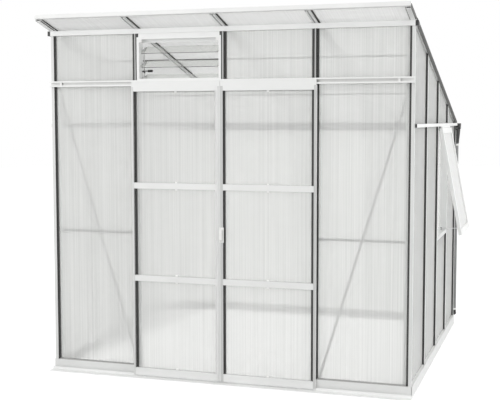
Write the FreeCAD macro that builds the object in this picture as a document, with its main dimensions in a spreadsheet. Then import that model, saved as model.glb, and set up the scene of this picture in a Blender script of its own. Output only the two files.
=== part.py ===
# Lean-to greenhouse with sliding doors, a louvre window and a top-hung side window.
#
# Frame: X to the right, Y to the back, Z up, all in millimetres. The origin lies at ground
# level, at the centre of the four anchor holes in the corner shoes.
# The tall wall with the doors is at the front (-Y) and the roof falls to the gutter at the back.
#
# Every wall has a frame of its own: X runs along the wall, to the right as seen from outside,
# Y runs inwards from the plane of the bars' noses and Z runs up. The roof's frame starts at
# the rafters' undersides above the front noses: X to the right, Y down the slope, Z outwards.

import FreeCAD, Part
import math
import os
import re

import Sketcher

# Driving sizes

SIZES = {
    # Bays and heights of the house
    "front_pitch": 620,
    "side_pitch": 604,
    "front_height": 2350,
    "rear_height": 1700,
    "roof_overhang": 225,
    "roof_tail": 24,
    # Glazing bar: nose, stem, seat flange and bolt channel
    "nose_width": 18,
    "nose_thick": 3,
    "stem_width": 8,
    "bar_depth": 55,
    "roof_bar_depth": 38,
    "seat_width": 46,
    "roof_seat_width": 26,
    "seat_thick": 2.5,
    "channel_width": 24,
    "channel_slot": 8,
    "channel_wall": 2,
    "corner_nose": 20,
    # Panes and the rubber strips that hold them
    "pane_thick": 6,
    "pane_setback": 14,
    "pane_gap": 2,
    "seal_lip": 14,
    "seal_lip_thick": 2,
    "inner_seal_thick": 3,
    "inner_seal_width": 20,
    # Base frame, sills and corner shoes
    "flange_thick": 4,
    "flange_front": 43,
    "flange_side": 10,
    "upstand_thick": 3,
    "upstand_height": 24,
    "sill_height": 70,
    "sill_depth": 6,
    "sill_wall": 2,
    "shoe_size": 100,
    "shoe_thick": 5,
    "anchor_inset": 50,
    "anchor_hole": 11,
    # Front beam, transoms, braces and inner rails
    "beam_height": 30,
    "beam_front": 8,
    "beam_depth": 55,
    "beam_wall": 2.5,
    "beam_cap": 20,
    "transom_level": 1990,
    "transom_height": 30,
    "transom_depth": 30,
    "lintel_top": 1960,
    "lintel_height": 30,
    "mid_rail_level": 980,
    "mid_rail_height": 15,
    "mid_rail_depth": 22,
    "brace_width": 16,
    "brace_thick": 3,
    "brace_foot": 40,
    # Rear beam with its gutter, the outlet and the downpipe
    "rear_beam_height": 45,
    "gutter_width": 78,
    "gutter_floor": 1668,
    "gutter_depth": 48,
    "gutter_wall": 2.5,
    "gutter_lip": 6,
    "gutter_back": 17,
    "gutter_overhang": 18,
    "gutter_cap": 14,
    "pipe_setback": 40,
    "pipe_diameter": 34,
    "pipe_wall": 2,
    "pipe_top": 1560,
    "pipe_foot": 108,
    "outlet_diameter": 60,
    "outlet_bore": 30,
    "outlet_overlap": 12,
    "pipe_clip_height": 14,
    "pipe_clip_drop": 22,
    "elbow_radius": 34,
    # Roof edges and joints
    "fascia_width": 20,
    "fascia_height": 28,
    "gable_box": 30,
    "gable_nose": 22,
    "gable_stem": 17,
    "gable_strip_thick": 3,
    "gable_strip_drop": 10,
    "joint_flange": 12,
    "joint_web": 2,
    # Side rail outside the walls
    "side_rail_level": 1708,
    "side_rail_height": 22,
    "side_rail_depth": 10,
    "side_rail_inset": 24,
    "side_rail_tail": 40,
    # Door track, doors and rollers
    "track_bottom": 1972,
    "track_height": 38,
    "track_depth": 27.5,
    "track_wall": 2,
    "track_lip": 10,
    "track_ridge": 3,
    "door_front": 32,
    "door_seat": 2.5,
    "door_bottom": 12,
    "door_height": 1954,
    "door_lap": 16.5,
    "door_meeting": 9,
    "door_gap": 2,
    "door_travel": 600,
    "stile_box": 13,
    "door_rail_height": 40,
    "door_rail_low": 679,
    "door_rail_high": 1306,
    "door_foot_height": 50,
    "door_head_height": 31,
    "hanger_height": 36,
    "hanger_thick": 2.5,
    "closing_strip_width": 25,
    "closing_strip_thick": 3,
    "guide_rib": 3,
    "guide_rib_height": 16,
    "glide_width": 9,
    "glide_length": 40,
    "glide_height": 12,
    "roller_spread": 220,
    "roller_radius": 16,
    "roller_width": 10,
    "roller_groove": 3,
    "axle_diameter": 6,
    "running_gap": 0.3,
    "bore_gap": 0.05,
    "stop_length": 14,
    "handle_width": 33,
    "handle_height": 100,
    "handle_level": 992,
    "handle_reach": 24,
    "handle_thick": 6,
    # Louvre window above the left door
    "louvre_margin": 11,
    "louvre_stile": 17,
    "louvre_depth": 66,
    "louvre_foot": 11,
    "louvre_apron": 61,
    "louvre_head": 38,
    "louvre_lip": 20,
    "slat_pitch": 93.5,
    "slat_width": 105,
    "slat_thick": 4,
    "slat_level": 2213,
    "slat_setback": 56,
    "slat_angle": 62,
    "clip_width": 16,
    "clip_length": 66,
    "clip_thick": 9,
    "pivot_diameter": 6,
    "side_gap": 1.5,
    "link_gap": 6,
    "crank_radius": 24,
    "crank_lead": 43,
    "crank_pin": 4,
    "link_thick": 3,
    "link_width": 12,
    "lever_length": 75,
    "lever_lead": 66,
    "knob_diameter": 16,
    # Side window
    "window_hinge_level": 1690,
    "window_hinge_reach": 15,
    "window_angle": 10.9,
    "window_length": 806,
    "window_play": 6,
    "window_depth": 22,
    "window_frame": 40,
    "window_sill_top": 880,
    "window_sill_height": 28,
    "jamb_width": 25,
    "hinge_rod": 8,
    "hinge_hook": 3,
    "hinge_leaf": 1,
    "stay_inset": 67,
    "stay_length": 350,
    "stay_width": 14,
    "stay_thick": 3,
    "stay_slot": 7,
    "stay_drop": 802,
    "stay_stud": 6,
    "stay_stud_inset": 35,
    "stay_slope": 4,
    # Small pieces
    "clip_tab_width": 16,
    "clip_tab_height": 9,
    "clip_tab_thick": 3,
    "rail_plug": 10,
    "louvre_block": 20,
    "louvre_block_thick": 4,
}

# Sizes that follow from the driving ones, written with their names

DERIVED = {
    "frame_width": "(4 * front_pitch + corner_nose)",
    "frame_depth": "(4 * side_pitch + corner_nose)",
    "roof_fall": "((front_height - rear_height) / frame_depth)",
    "roof_angle": "atan(roof_fall)",
    "roof_end": "((frame_depth + roof_tail) / cos(roof_angle))",
    "roof_start": "(fascia_width - roof_overhang)",
    "pane_back": "(pane_setback + pane_thick)",
    "seal_leg": "((nose_width - stem_width) / 2)",
    "corner_stem": "(corner_nose - seal_leg)",
    "upstand_face": "(bar_depth + upstand_thick)",
    "beam_bottom": "(front_height - beam_height)",
    "rear_beam_bottom": "(rear_height - rear_beam_height)",
    "channel_front": "(pane_back + seat_thick)",
    "rail_depth": "pane_back",
    "door_depth": "(rail_depth + door_seat)",
    "door_top": "(door_bottom + door_height)",
    "door_outer": "(front_pitch + door_lap)",
    "left_door_edge": "(door_meeting + door_gap / 2)",
    "right_door_edge": "(door_meeting - door_gap / 2)",
    "door_centre_depth": "(door_front - door_depth / 2)",
    "track_floor": "(track_bottom + track_wall)",
    "ridge_top": "(track_floor + track_ridge)",
    "groove_radius": "(roller_radius - roller_groove)",
    "axle_level": "(ridge_top + groove_radius + running_gap)",
    "roller_plane": "(track_depth / 2 + 2)",
    "window_centre": "(side_pitch / 2)",
    "window_width": "(side_pitch - window_play)",
    "stay_offset": "(window_width / 2 - stay_inset)",
    "window_sill_bottom": "(window_sill_top - window_sill_height)",
    "outlet_x": "(frame_width / 2)",
    "roof_pane_base": "(roof_bar_depth - pane_back)",
    "corner_key": "(pane_back + channel_wall)",
    "lever_level": "(slat_level - 1.5 * slat_pitch)",
    "crank_in": "(crank_radius * cos(crank_lead))",
    "crank_up": "(crank_radius * sin(crank_lead))",
    "crank_turn": "(slat_angle - crank_lead)",
    "louvre_half": "(front_pitch / 2 - louvre_margin)",
    "louvre_inner": "(louvre_half - louvre_stile)",
}

BAYS = 4

# A cut that removes less than this many cubic millimetres has missed its body
SMALLEST_CUT = 1

# Rest positions of the four walls: turn about Z, then the middle of the nose plane

WALLS = {
    "front": ("0", "0", "-frame_depth / 2"),
    "right": ("90", "frame_width / 2", "0"),
    "rear": ("180", "0", "frame_depth / 2"),
    "left": ("270", "-frame_width / 2", "0"),
}
PITCH = {
    "front": "front_pitch",
    "right": "side_pitch",
    "rear": "front_pitch",
    "left": "side_pitch",
}
HALF = {
    "front": "frame_width / 2",
    "right": "frame_depth / 2",
    "rear": "frame_width / 2",
    "left": "frame_depth / 2",
}

doc = FreeCAD.newDocument("Greenhouse")
sheet = doc.addObject("Spreadsheet::Sheet", "Sizes")
for line, (alias, number) in enumerate(SIZES.items(), 1):
    sheet.set(f"A{line}", alias)
    sheet.set(f"B{line}", str(number))
    sheet.setAlias(f"B{line}", alias)
doc.recompute()

nodes = []


# Expressions

def bound(text):
    """Expand derived names and point every size at its cell."""
    text = str(text)
    while True:
        wider = re.sub(r"[a-z_]\w*", lambda word: DERIVED.get(word[0], word[0]), text)
        if wider == text:
            break
        text = wider
    return re.sub(r"[a-z_]\w*", lambda word: "Sizes." + word[0] if word[0] in SIZES else word[0], text)


def value(text):
    """The number that an expression has now."""
    result = sheet.evalExpression(bound(text))
    return float(getattr(result, "Value", result))


# Sketches and features

def origin_plane(body, role):
    for feature in body.Origin.OriginFeatures:
        if feature.Role == role:
            return feature


def sketch_on(body, name, role, offset="0"):
    sketch = body.newObject("Sketcher::SketchObject", name)
    sketch.AttachmentSupport = [(origin_plane(body, role), "")]
    sketch.MapMode = "FlatFace"
    sketch.setExpression("AttachmentOffset.Base.z", bound(offset))
    return sketch


def loop(sketch, points):
    """Add a closed outline whose corners are tied to expressions."""
    first = sketch.GeometryCount
    corners = [FreeCAD.Vector(value(x), value(y), 0) for x, y in points]
    count = len(corners)
    for index in range(count):
        sketch.addGeometry(Part.LineSegment(corners[index], corners[(index + 1) % count]), False)
    for index in range(count):
        following = first + (index + 1) % count
        sketch.addConstraint(Sketcher.Constraint("Coincident", first + index, 2, following, 1))
    for index, (x, y) in enumerate(points):
        tie_point(sketch, first + index, 1, x, y)


def tie_point(sketch, geometry, position, x, y):
    for kind, text in (("DistanceX", x), ("DistanceY", y)):
        added = sketch.addConstraint(Sketcher.Constraint(kind, -1, 1, geometry, position, value(text)))
        sketch.setExpression(f"Constraints[{added}]", bound(text))


def ring(sketch, x, y, radius):
    """Add a circle with its centre and radius tied to expressions."""
    centre = FreeCAD.Vector(value(x), value(y), 0)
    geometry = sketch.addGeometry(Part.Circle(centre, FreeCAD.Vector(0, 0, 1), value(radius)), False)
    tie_point(sketch, geometry, 3, x, y)
    added = sketch.addConstraint(Sketcher.Constraint("Radius", geometry, value(radius)))
    sketch.setExpression(f"Constraints[{added}]", bound(radius))


def slot_loop(sketch, start, end, y, radius):
    """Add a slot along the sketch's X between two centres, with round ends."""
    left = FreeCAD.Vector(value(start), value(y), 0)
    right = FreeCAD.Vector(value(end), value(y), 0)
    size = value(radius)
    up = FreeCAD.Vector(0, size, 0)
    normal = FreeCAD.Vector(0, 0, 1)
    top = sketch.addGeometry(Part.LineSegment(left + up, right + up), False)
    turn = Part.ArcOfCircle(Part.Circle(right, normal, size), -math.pi / 2, math.pi / 2)
    right_end = sketch.addGeometry(turn, False)
    bottom = sketch.addGeometry(Part.LineSegment(right - up, left - up), False)
    turn = Part.ArcOfCircle(Part.Circle(left, normal, size), math.pi / 2, 3 * math.pi / 2)
    left_end = sketch.addGeometry(turn, False)
    for first, end_one, second, end_two in (
        (top, 2, right_end, 2),
        (right_end, 1, bottom, 1),
        (bottom, 2, left_end, 2),
        (left_end, 1, top, 1),
    ):
        sketch.addConstraint(Sketcher.Constraint("Tangent", first, end_one, second, end_two))
    tie_point(sketch, right_end, 3, end, y)
    tie_point(sketch, left_end, 3, start, y)
    added = sketch.addConstraint(Sketcher.Constraint("Radius", right_end, size))
    sketch.setExpression(f"Constraints[{added}]", bound(radius))


def new_body(name):
    return doc.addObject("PartDesign::Body", name)


def pad(body, sketch, length, back=False):
    feature = body.newObject("PartDesign::Pad", sketch.Name + "_pad")
    feature.Profile = sketch
    feature.setExpression("Length", bound(length))
    feature.Reversed = back
    body.Tip = feature
    return feature


def cut(body, sketch, length=None, back=False):
    """Pocket the sketch to a length, or through everything both ways."""
    body.recompute(True)
    before = body.Shape.Volume
    feature = body.newObject("PartDesign::Pocket", sketch.Name + "_cut")
    feature.Profile = sketch
    if length is None:
        feature.Type = "ThroughAll"
        feature.Midplane = True
    else:
        feature.setExpression("Length", bound(length))
        feature.Reversed = back
    body.Tip = feature
    body.recompute(True)
    if body.Shape.Volume > before - SMALLEST_CUT:
        raise RuntimeError(f"{sketch.Name} cuts nothing")
    return feature


def row(body, feature, sketch, axis, spacing, count):
    """Repeat a feature along one axis of its sketch."""
    pattern = body.newObject("PartDesign::LinearPattern", feature.Name + "_row")
    pattern.Originals = [feature]
    pattern.Direction = (sketch, [axis])
    pattern.Mode = "Spacing"
    pattern.setExpression("Offset", bound(spacing))
    pattern.Occurrences = count
    body.Tip = pattern
    return pattern


def turned(body, sketch, axis, angle="360"):
    feature = body.newObject("PartDesign::Revolution", sketch.Name + "_turned")
    feature.Profile = sketch
    feature.ReferenceAxis = (sketch, [axis])
    feature.setExpression("Angle", bound(angle))
    body.Tip = feature
    return feature


def prism(name, role, outlines, length, offset="0", back=False):
    """A body with one padded sketch; the outlines after the first are hollows."""
    body = new_body(name)
    sketch = sketch_on(body, name + "_outline", role, offset)
    for points in outlines:
        loop(sketch, points)
    pad(body, sketch, length, back)
    return body


def rectangle(x_low, x_high, y_low, y_high):
    return [(x_low, y_low), (x_high, y_low), (x_high, y_high), (x_low, y_high)]


# Placing and naming

def place(thing, x="0", y="0", z="0", axis=None, angle="0"):
    for letter, text in zip("xyz", (x, y, z)):
        thing.setExpression(f"Placement.Base.{letter}", bound(text))
    if axis is not None:
        thing.Placement = FreeCAD.Placement(thing.Placement.Base, FreeCAD.Rotation(axis, 1))
        thing.setExpression("Placement.Rotation.Angle", bound(angle))
    return thing


X_AXIS = FreeCAD.Vector(1, 0, 0)
Y_AXIS = FreeCAD.Vector(0, 1, 0)
Z_AXIS = FreeCAD.Vector(0, 0, 1)


def on_wall(body, wall):
    angle, x, y = WALLS[wall]
    return place(body, x, y, "0", Z_AXIS, angle)


def on_roof(body):
    return place(body, "0", "-frame_depth / 2", "front_height", -X_AXIS, "roof_angle")


def mirrored(source, name):
    """The same piece on the other side of the middle plane."""
    copy = doc.addObject("Part::Mirroring", name)
    copy.Source = source
    copy.Normal = X_AXIS
    return copy


def node(name, *pieces):
    """Name one sub-part, gathering its separate solids where it has several."""
    if len(pieces) == 1:
        thing = pieces[0]
    else:
        thing = doc.addObject("Part::Compound", name)
        thing.Links = list(pieces)
    thing.Label = name
    nodes.append(thing)
    return thing


# Positions along a wall

def bar_at(wall, index):
    """Middle of bar 0 to 4; 0 and 4 are the corner posts' noses."""
    return f"({index - BAYS // 2} * {PITCH[wall]})"


def stem_faces(wall, bay):
    """The two stem faces between which bay 0 to 3 lies."""
    left_reach = "(corner_stem - corner_nose / 2)" if bay == 0 else "stem_width / 2"
    right_reach = "(corner_stem - corner_nose / 2)" if bay == BAYS - 1 else "stem_width / 2"
    return f"({bar_at(wall, bay)} + {left_reach})", f"({bar_at(wall, bay + 1)} - {right_reach})"


def pane_edges(wall, bay):
    """Edges of the pane in a bay; beside a corner post it clears the post's key."""
    key = "corner_key - corner_stem + pane_gap"
    left, right = stem_faces(wall, bay)
    left_gap = key if bay == 0 else "pane_gap"
    right_gap = key if bay == BAYS - 1 else "pane_gap"
    return f"({left} + {left_gap})", f"({right} - ({right_gap}))"


def trim_to_roof(body, wall):
    """Cut away what stands above the rafters' undersides on a side wall."""
    sign = "" if wall == "right" else "-"
    near = f"({sign}(-frame_depth / 2 - bar_depth))"
    far = f"({sign}(frame_depth / 2 + bar_depth))"
    sketch = sketch_on(body, body.Name + "_roofline", "XZ_Plane")
    loop(sketch, [
        (near, "front_height + bar_depth * roof_fall"),
        (far, "rear_height - bar_depth * roof_fall"),
        (far, "2 * front_height"),
        (near, "2 * front_height"),
    ])
    cut(body, sketch)


def notch_for_beam(body, wall, bottom, rear):
    """Cut away what would stand inside the beam that lies on the corner posts."""
    sketch = sketch_on(body, f"{body.Name}_notch", "XZ_Plane")
    sign = "" if (wall == "right") == rear else "-"
    corner = f"({sign}frame_depth / 2)"
    edge = f"({sign}(frame_depth / 2 - beam_depth + beam_front))"
    ends = sorted((corner, edge), key=value)
    loop(sketch, rectangle(ends[0], ends[1], bottom, "2 * front_height"))
    cut(body, sketch)


# Extruded sections

def bar_section(middle, seat, seat_width, depth, flip=None):
    """Nose, stem, seat flange and open bolt channel of a glazing bar."""
    half = [
        ("nose_width / 2", "0"),
        ("nose_width / 2", "nose_thick"),
        ("stem_width / 2", "nose_thick"),
        ("stem_width / 2", seat),
        (f"{seat_width} / 2", seat),
        (f"{seat_width} / 2", f"{seat} + seat_thick"),
        ("channel_width / 2", f"{seat} + seat_thick"),
        ("channel_width / 2", depth),
        ("channel_slot / 2", depth),
        ("channel_slot / 2", f"{depth} - channel_wall"),
        ("channel_width / 2 - channel_wall", f"{depth} - channel_wall"),
        ("channel_width / 2 - channel_wall", f"{seat} + seat_thick + channel_wall"),
    ]
    points = [(f"{middle} + {across}", inward) for across, inward in half]
    points += [(f"{middle} - ({across})", inward) for across, inward in reversed(half)]
    if flip is not None:
        points = [(across, f"{flip} - ({inward})") for across, inward in points]
    return points


def seal_section(face, sign, flip=None):
    """Rubber strip: a leg beside the stem under the nose and a lip on the pane."""
    points = [
        (f"{face}", "nose_thick"),
        (f"{face} {sign} seal_leg", "nose_thick"),
        (f"{face} {sign} seal_leg", "pane_setback - seal_lip_thick"),
        (f"{face} {sign} (seal_leg + seal_lip)", "pane_setback - seal_lip_thick"),
        (f"{face} {sign} (seal_leg + seal_lip)", "pane_setback"),
        (f"{face}", "pane_setback"),
    ]
    if flip is not None:
        points = [(across, f"{flip} - ({inward})") for across, inward in points]
    return points


def seal(name, wall, face, sign, bottom, top):
    body = prism(name, "XY_Plane", [seal_section(face, sign)], f"{top} - ({bottom})", bottom)
    return on_wall(body, wall)


# Base frame

def base_section(outer):
    """Ground flange with the low upstand that the bars bolt to."""
    return [
        (f"-{outer}", "0"),
        ("upstand_face", "0"),
        ("upstand_face", "upstand_height"),
        ("bar_depth", "upstand_height"),
        ("bar_depth", "flange_thick"),
        (f"-{outer}", "flange_thick"),
    ]


def make_base():
    reach = "frame_width / 2 + flange_side"
    bases = []
    for wall, outer in (("front", "flange_front"), ("rear", "flange_side")):
        body = new_body(f"base_{wall}_body")
        sketch = sketch_on(body, f"base_{wall}_section", "YZ_Plane", f"-({reach})")
        loop(sketch, base_section(outer))
        pad(body, sketch, f"2 * ({reach})")
        ends = sketch_on(body, f"base_{wall}_ends", "XZ_Plane", "-upstand_face")
        for sign in ("-", ""):
            inner = f"{sign}(frame_width / 2 - upstand_face)"
            outer_edge = f"{sign}({reach} + flange_side)"
            loop(ends, rectangle(inner, outer_edge, "flange_thick", "upstand_height + seat_thick"))
        cut(body, ends, "upstand_face - bar_depth + seat_thick", back=True)
        if wall == "front":
            rib = sketch_on(body, "guide_rib_section", "YZ_Plane", f"-({reach})")
            low = "-door_centre_depth - guide_rib / 2"
            high = "-door_centre_depth + guide_rib / 2"
            loop(rib, rectangle(low, high, "flange_thick", "flange_thick + guide_rib_height"))
            pad(body, rib, f"2 * ({reach})")
        bases.append(on_wall(body, wall))
    for wall in ("left", "right"):
        start = "-frame_depth / 2 + upstand_face"
        body = prism(f"base_{wall}_body", "YZ_Plane", [base_section("flange_side")],
                     "frame_depth - 2 * upstand_face", start)
        bases.append(on_wall(body, wall))
    node("base_front", bases[0])
    node("base_rear_sides", *bases[1:])


def make_corner_shoes():
    """Plate with two upstands and the anchor hole, in each inner corner of the base."""
    shoes = []
    for wall in WALLS:
        body = new_body(f"shoe_{wall}")
        corner = f"(upstand_face - {HALF[wall]})"
        plate = sketch_on(body, f"shoe_{wall}_plate", "XY_Plane")
        loop(plate, [
            (corner, "upstand_face"),
            (f"{corner} + shoe_size", "upstand_face"),
            (f"{corner} + shoe_size", "upstand_face + shoe_size / 2"),
            (f"{corner} + shoe_size / 2", "upstand_face + shoe_size"),
            (corner, "upstand_face + shoe_size"),
        ])
        ring(plate, f"{corner} + anchor_inset", "upstand_face + anchor_inset", "anchor_hole / 2")
        pad(body, plate, "shoe_thick")
        angle = sketch_on(body, f"shoe_{wall}_angle", "XY_Plane")
        loop(angle, [
            (corner, "upstand_face"),
            (f"{corner} + shoe_size", "upstand_face"),
            (f"{corner} + shoe_size", "upstand_face + upstand_thick"),
            (f"{corner} + upstand_thick", "upstand_face + upstand_thick"),
            (f"{corner} + upstand_thick", "upstand_face + shoe_size"),
            (corner, "upstand_face + shoe_size"),
        ])
        pad(body, angle, "upstand_height")
        shoes.append(on_wall(body, wall))
    node("corner_shoes", *shoes)


def sill(name, wall, low, high, bays):
    """Box cover across the bars' feet with a ledge to each pane."""
    body = new_body(name)
    top = "sill_height"
    box = sketch_on(body, f"{name}_box", "YZ_Plane", low)
    loop(box, rectangle("-sill_depth", "0", "flange_thick", top))
    loop(box, rectangle("sill_wall - sill_depth", "-sill_wall", "flange_thick + sill_wall",
                        f"{top} - sill_wall"))
    pad(body, box, f"{high} - ({low})")
    for bay in bays:
        left, right = stem_faces(wall, bay)
        start = f"{left} + seal_leg + seal_lip"
        ledge = sketch_on(body, f"{name}_ledge_{bay}", "YZ_Plane", start)
        loop(ledge, rectangle("-sill_wall", "pane_setback", f"{top} - sill_wall", top))
        pad(body, ledge, f"{right} - seal_leg - seal_lip - ({start})")
    return on_wall(body, wall)


def make_sills():
    post_edge = "(front_pitch - nose_width / 2)"
    pieces = [
        sill("sill_front_left", "front", "-frame_width / 2", f"-{post_edge}", [0]),
        sill("sill_front_right", "front", post_edge, "frame_width / 2", [3]),
    ]
    for wall in ("right", "rear", "left"):
        pieces.append(sill(f"sill_{wall}", wall, f"-({HALF[wall]})", HALF[wall], range(BAYS)))
    for wall in WALLS:
        for bay in (0, BAYS - 1) if wall == "front" else range(BAYS):
            pieces.append(clip_tab(f"sill_tab_{wall}_{bay}", wall,
                                   f"({' + '.join(stem_faces(wall, bay))}) / 2",
                                   "-pane_setback", "sill_height"))
    node("sills", *pieces)


# Posts and bars

def make_corner_posts():
    posts = []
    for wall, top in (("front", "beam_bottom"), ("right", "beam_bottom"),
                      ("rear", "rear_beam_bottom"), ("left", "rear_beam_bottom")):
        corner = f"-({HALF[wall]})"
        reach = "(corner_stem + seal_leg + seal_lip)"
        half = [
            ("0", "0"),
            ("corner_nose", "0"),
            ("corner_nose", "nose_thick"),
            ("corner_stem", "nose_thick"),
            ("corner_stem", "pane_setback"),
            ("corner_key", "pane_setback"),
            ("corner_key", "pane_back"),
            (reach, "pane_back"),
            (reach, "channel_front"),
            ("bar_depth", "channel_front"),
        ]
        points = [(f"{corner} + {along}", inward) for along, inward in half]
        points.append((f"{corner} + bar_depth", "bar_depth"))
        points += [(f"{corner} + {inward}", along) for along, inward in reversed(half[1:])]
        hollow = rectangle(f"{corner} + channel_front + channel_wall",
                           f"{corner} + bar_depth - channel_wall",
                           "channel_front + channel_wall", "bar_depth - channel_wall")
        body = prism(f"corner_post_{wall}", "XY_Plane", [points, hollow],
                     f"{top} - flange_thick", "flange_thick")
        posts.append(on_wall(body, wall))
    node("corner_posts", *posts)


def bar(name, wall, index, bottom, top, count=1):
    """One glazing bar, or a row of them one bay apart."""
    body = new_body(name)
    section = bar_section(bar_at(wall, index), "pane_back", "seat_width", "bar_depth")
    sketch = sketch_on(body, f"{name}_section", "XY_Plane", bottom)
    loop(sketch, section)
    feature = pad(body, sketch, f"{top} - ({bottom})")
    if count > 1:
        row(body, feature, sketch, "H_Axis", PITCH[wall], count)
    return on_wall(body, wall)


def make_bars():
    node("front_bars",
         bar("door_post_left", "front", 1, "flange_thick", "beam_bottom"),
         bar("fanlight_bar", "front", 2, "lintel_top", "beam_bottom"),
         bar("door_post_right", "front", 3, "flange_thick", "beam_bottom"))
    node("rear_bars", bar("rear_bar_row", "rear", 1, "flange_thick", "rear_beam_bottom", BAYS - 1))
    sides = []
    for wall in ("left", "right"):
        body = bar(f"side_bar_row_{wall}", wall, 1, "flange_thick", "front_height", BAYS - 1)
        trim_to_roof(body, wall)
        sides.append(body)
    node("side_bars", *sides)


# Rails between the bars

def between_channels(wall, bay):
    """Faces of the bolt channels on both sides of a bay."""
    left = "(bar_depth - corner_nose / 2)" if bay == 0 else "channel_width / 2"
    right = "(bar_depth - corner_nose / 2)" if bay == BAYS - 1 else "channel_width / 2"
    return f"({bar_at(wall, bay)} + {left})", f"({bar_at(wall, bay + 1)} - {right})"


def transom(name, wall, bay, level):
    """Box behind the panes with a web between the upper and the lower pane."""
    body = new_body(name)
    low, high = between_channels(wall, bay)
    box = sketch_on(body, f"{name}_box", "YZ_Plane", low)
    bottom = f"{level} - transom_height / 2"
    top = f"{level} + transom_height / 2"
    back = "channel_front + transom_depth"
    loop(box, rectangle("channel_front", back, bottom, top))
    loop(box, rectangle("channel_front + channel_wall", f"{back} - channel_wall",
                        f"{bottom} + channel_wall", f"{top} - channel_wall"))
    pad(body, box, f"{high} - ({low})")
    left, right = stem_faces(wall, bay)
    corner_reach = "bar_depth - corner_stem"
    bar_reach = "seal_leg + seal_lip"
    start = f"{left} + {corner_reach if bay == 0 else bar_reach}"
    end = f"{right} - ({corner_reach if bay == BAYS - 1 else bar_reach})"
    web = sketch_on(body, f"{name}_web", "YZ_Plane", start)
    loop(web, rectangle("pane_setback", "channel_front",
                        f"{level} - joint_web", f"{level} + joint_web"))
    pad(body, web, f"{end} - ({start})")
    return on_wall(body, wall)


def make_transoms():
    pieces = [transom("transom_front_left", "front", 0, "transom_level"),
              transom("transom_front_right", "front", 3, "transom_level")]
    for wall in ("left", "right"):
        for bay in range(BAYS):
            body = transom(f"transom_{wall}_{bay}", wall, bay, "side_rail_level")
            if roof_meets_transom(wall, bay):
                trim_to_roof(body, wall)
            pieces.append(body)
    edge = "(front_pitch - channel_width / 2)"
    lip_edge = "(front_pitch - seat_width / 2)"
    body = new_body("lintel_body")
    box = sketch_on(body, "lintel_box", "YZ_Plane", f"-{edge}")
    loop(box, rectangle("channel_front", "bar_depth", "lintel_top - lintel_height", "lintel_top"))
    loop(box, rectangle("channel_front + beam_wall", "bar_depth - beam_wall",
                        "lintel_top - lintel_height + beam_wall", "lintel_top - beam_wall"))
    pad(body, box, f"2 * {edge}")
    lip = sketch_on(body, "lintel_lip", "YZ_Plane", f"-{lip_edge}")
    loop(lip, rectangle("nose_thick", "channel_front", "lintel_top - beam_wall", "lintel_top"))
    pad(body, lip, f"2 * {lip_edge}")
    node("transoms", on_wall(body, "front"), *pieces)


def make_mid_rails():
    pieces = []
    for bay in (0, 3):
        low, high = between_channels("front", bay)
        bottom = "mid_rail_level - mid_rail_height / 2"
        top = "mid_rail_level + mid_rail_height / 2"
        back = "channel_front + mid_rail_depth"
        body = prism(f"mid_rail_{bay}", "YZ_Plane", [
            rectangle("channel_front", back, bottom, top),
            rectangle("channel_front + channel_wall", f"{back} - channel_wall",
                      f"{bottom} + channel_wall", f"{top} - channel_wall"),
        ], f"{high} - ({low})", low)
        pieces.append(on_wall(body, "front"))
    return pieces


def make_braces():
    """Flat diagonals behind the end bays, from the corner's head to the door post's foot."""
    run = "(frame_width / 2 - channel_front - channel_width - front_pitch)"
    rise = "(transom_level - brace_foot - transom_height)"
    strip = doc.addObject("Part::Box", "brace_strip")
    strip.setExpression("Length", bound(f"sqrt({run} * {run} + {rise} * {rise})"))
    strip.setExpression("Width", bound("brace_thick"))
    strip.setExpression("Height", bound("brace_width"))
    place(strip, "-front_pitch - channel_width / 4", "bar_depth - frame_depth / 2", "brace_foot",
          -Y_AXIS, f"180 deg - atan({rise} / {run})")
    return [strip, mirrored(strip, "brace_strip_right")]


# Beams and the gutter

def make_front_beam():
    front = "-beam_front"
    back = "(beam_depth - beam_front)"
    outer = [
        (front, "beam_bottom"),
        (back, "beam_bottom"),
        (back, f"front_height - {back} * roof_fall"),
        (front, "front_height + beam_front * roof_fall"),
    ]
    inner = [
        ("beam_wall - beam_front", "beam_bottom + beam_wall"),
        (f"{back} - beam_wall", "beam_bottom + beam_wall"),
        (f"{back} - beam_wall", f"front_height - {back} * roof_fall - beam_wall"),
        ("beam_wall - beam_front", "front_height + beam_front * roof_fall - 1.5 * beam_wall"),
    ]
    body = prism("front_beam_body", "YZ_Plane", [outer, inner], "frame_width", "-frame_width / 2")
    node("front_eave_beam", on_wall(body, "front"))
    cap = prism("beam_cap_right", "YZ_Plane", [outer], "beam_cap", "frame_width / 2")
    on_wall(cap, "front")
    return [cap, mirrored(cap, "beam_cap_left")]


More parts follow.
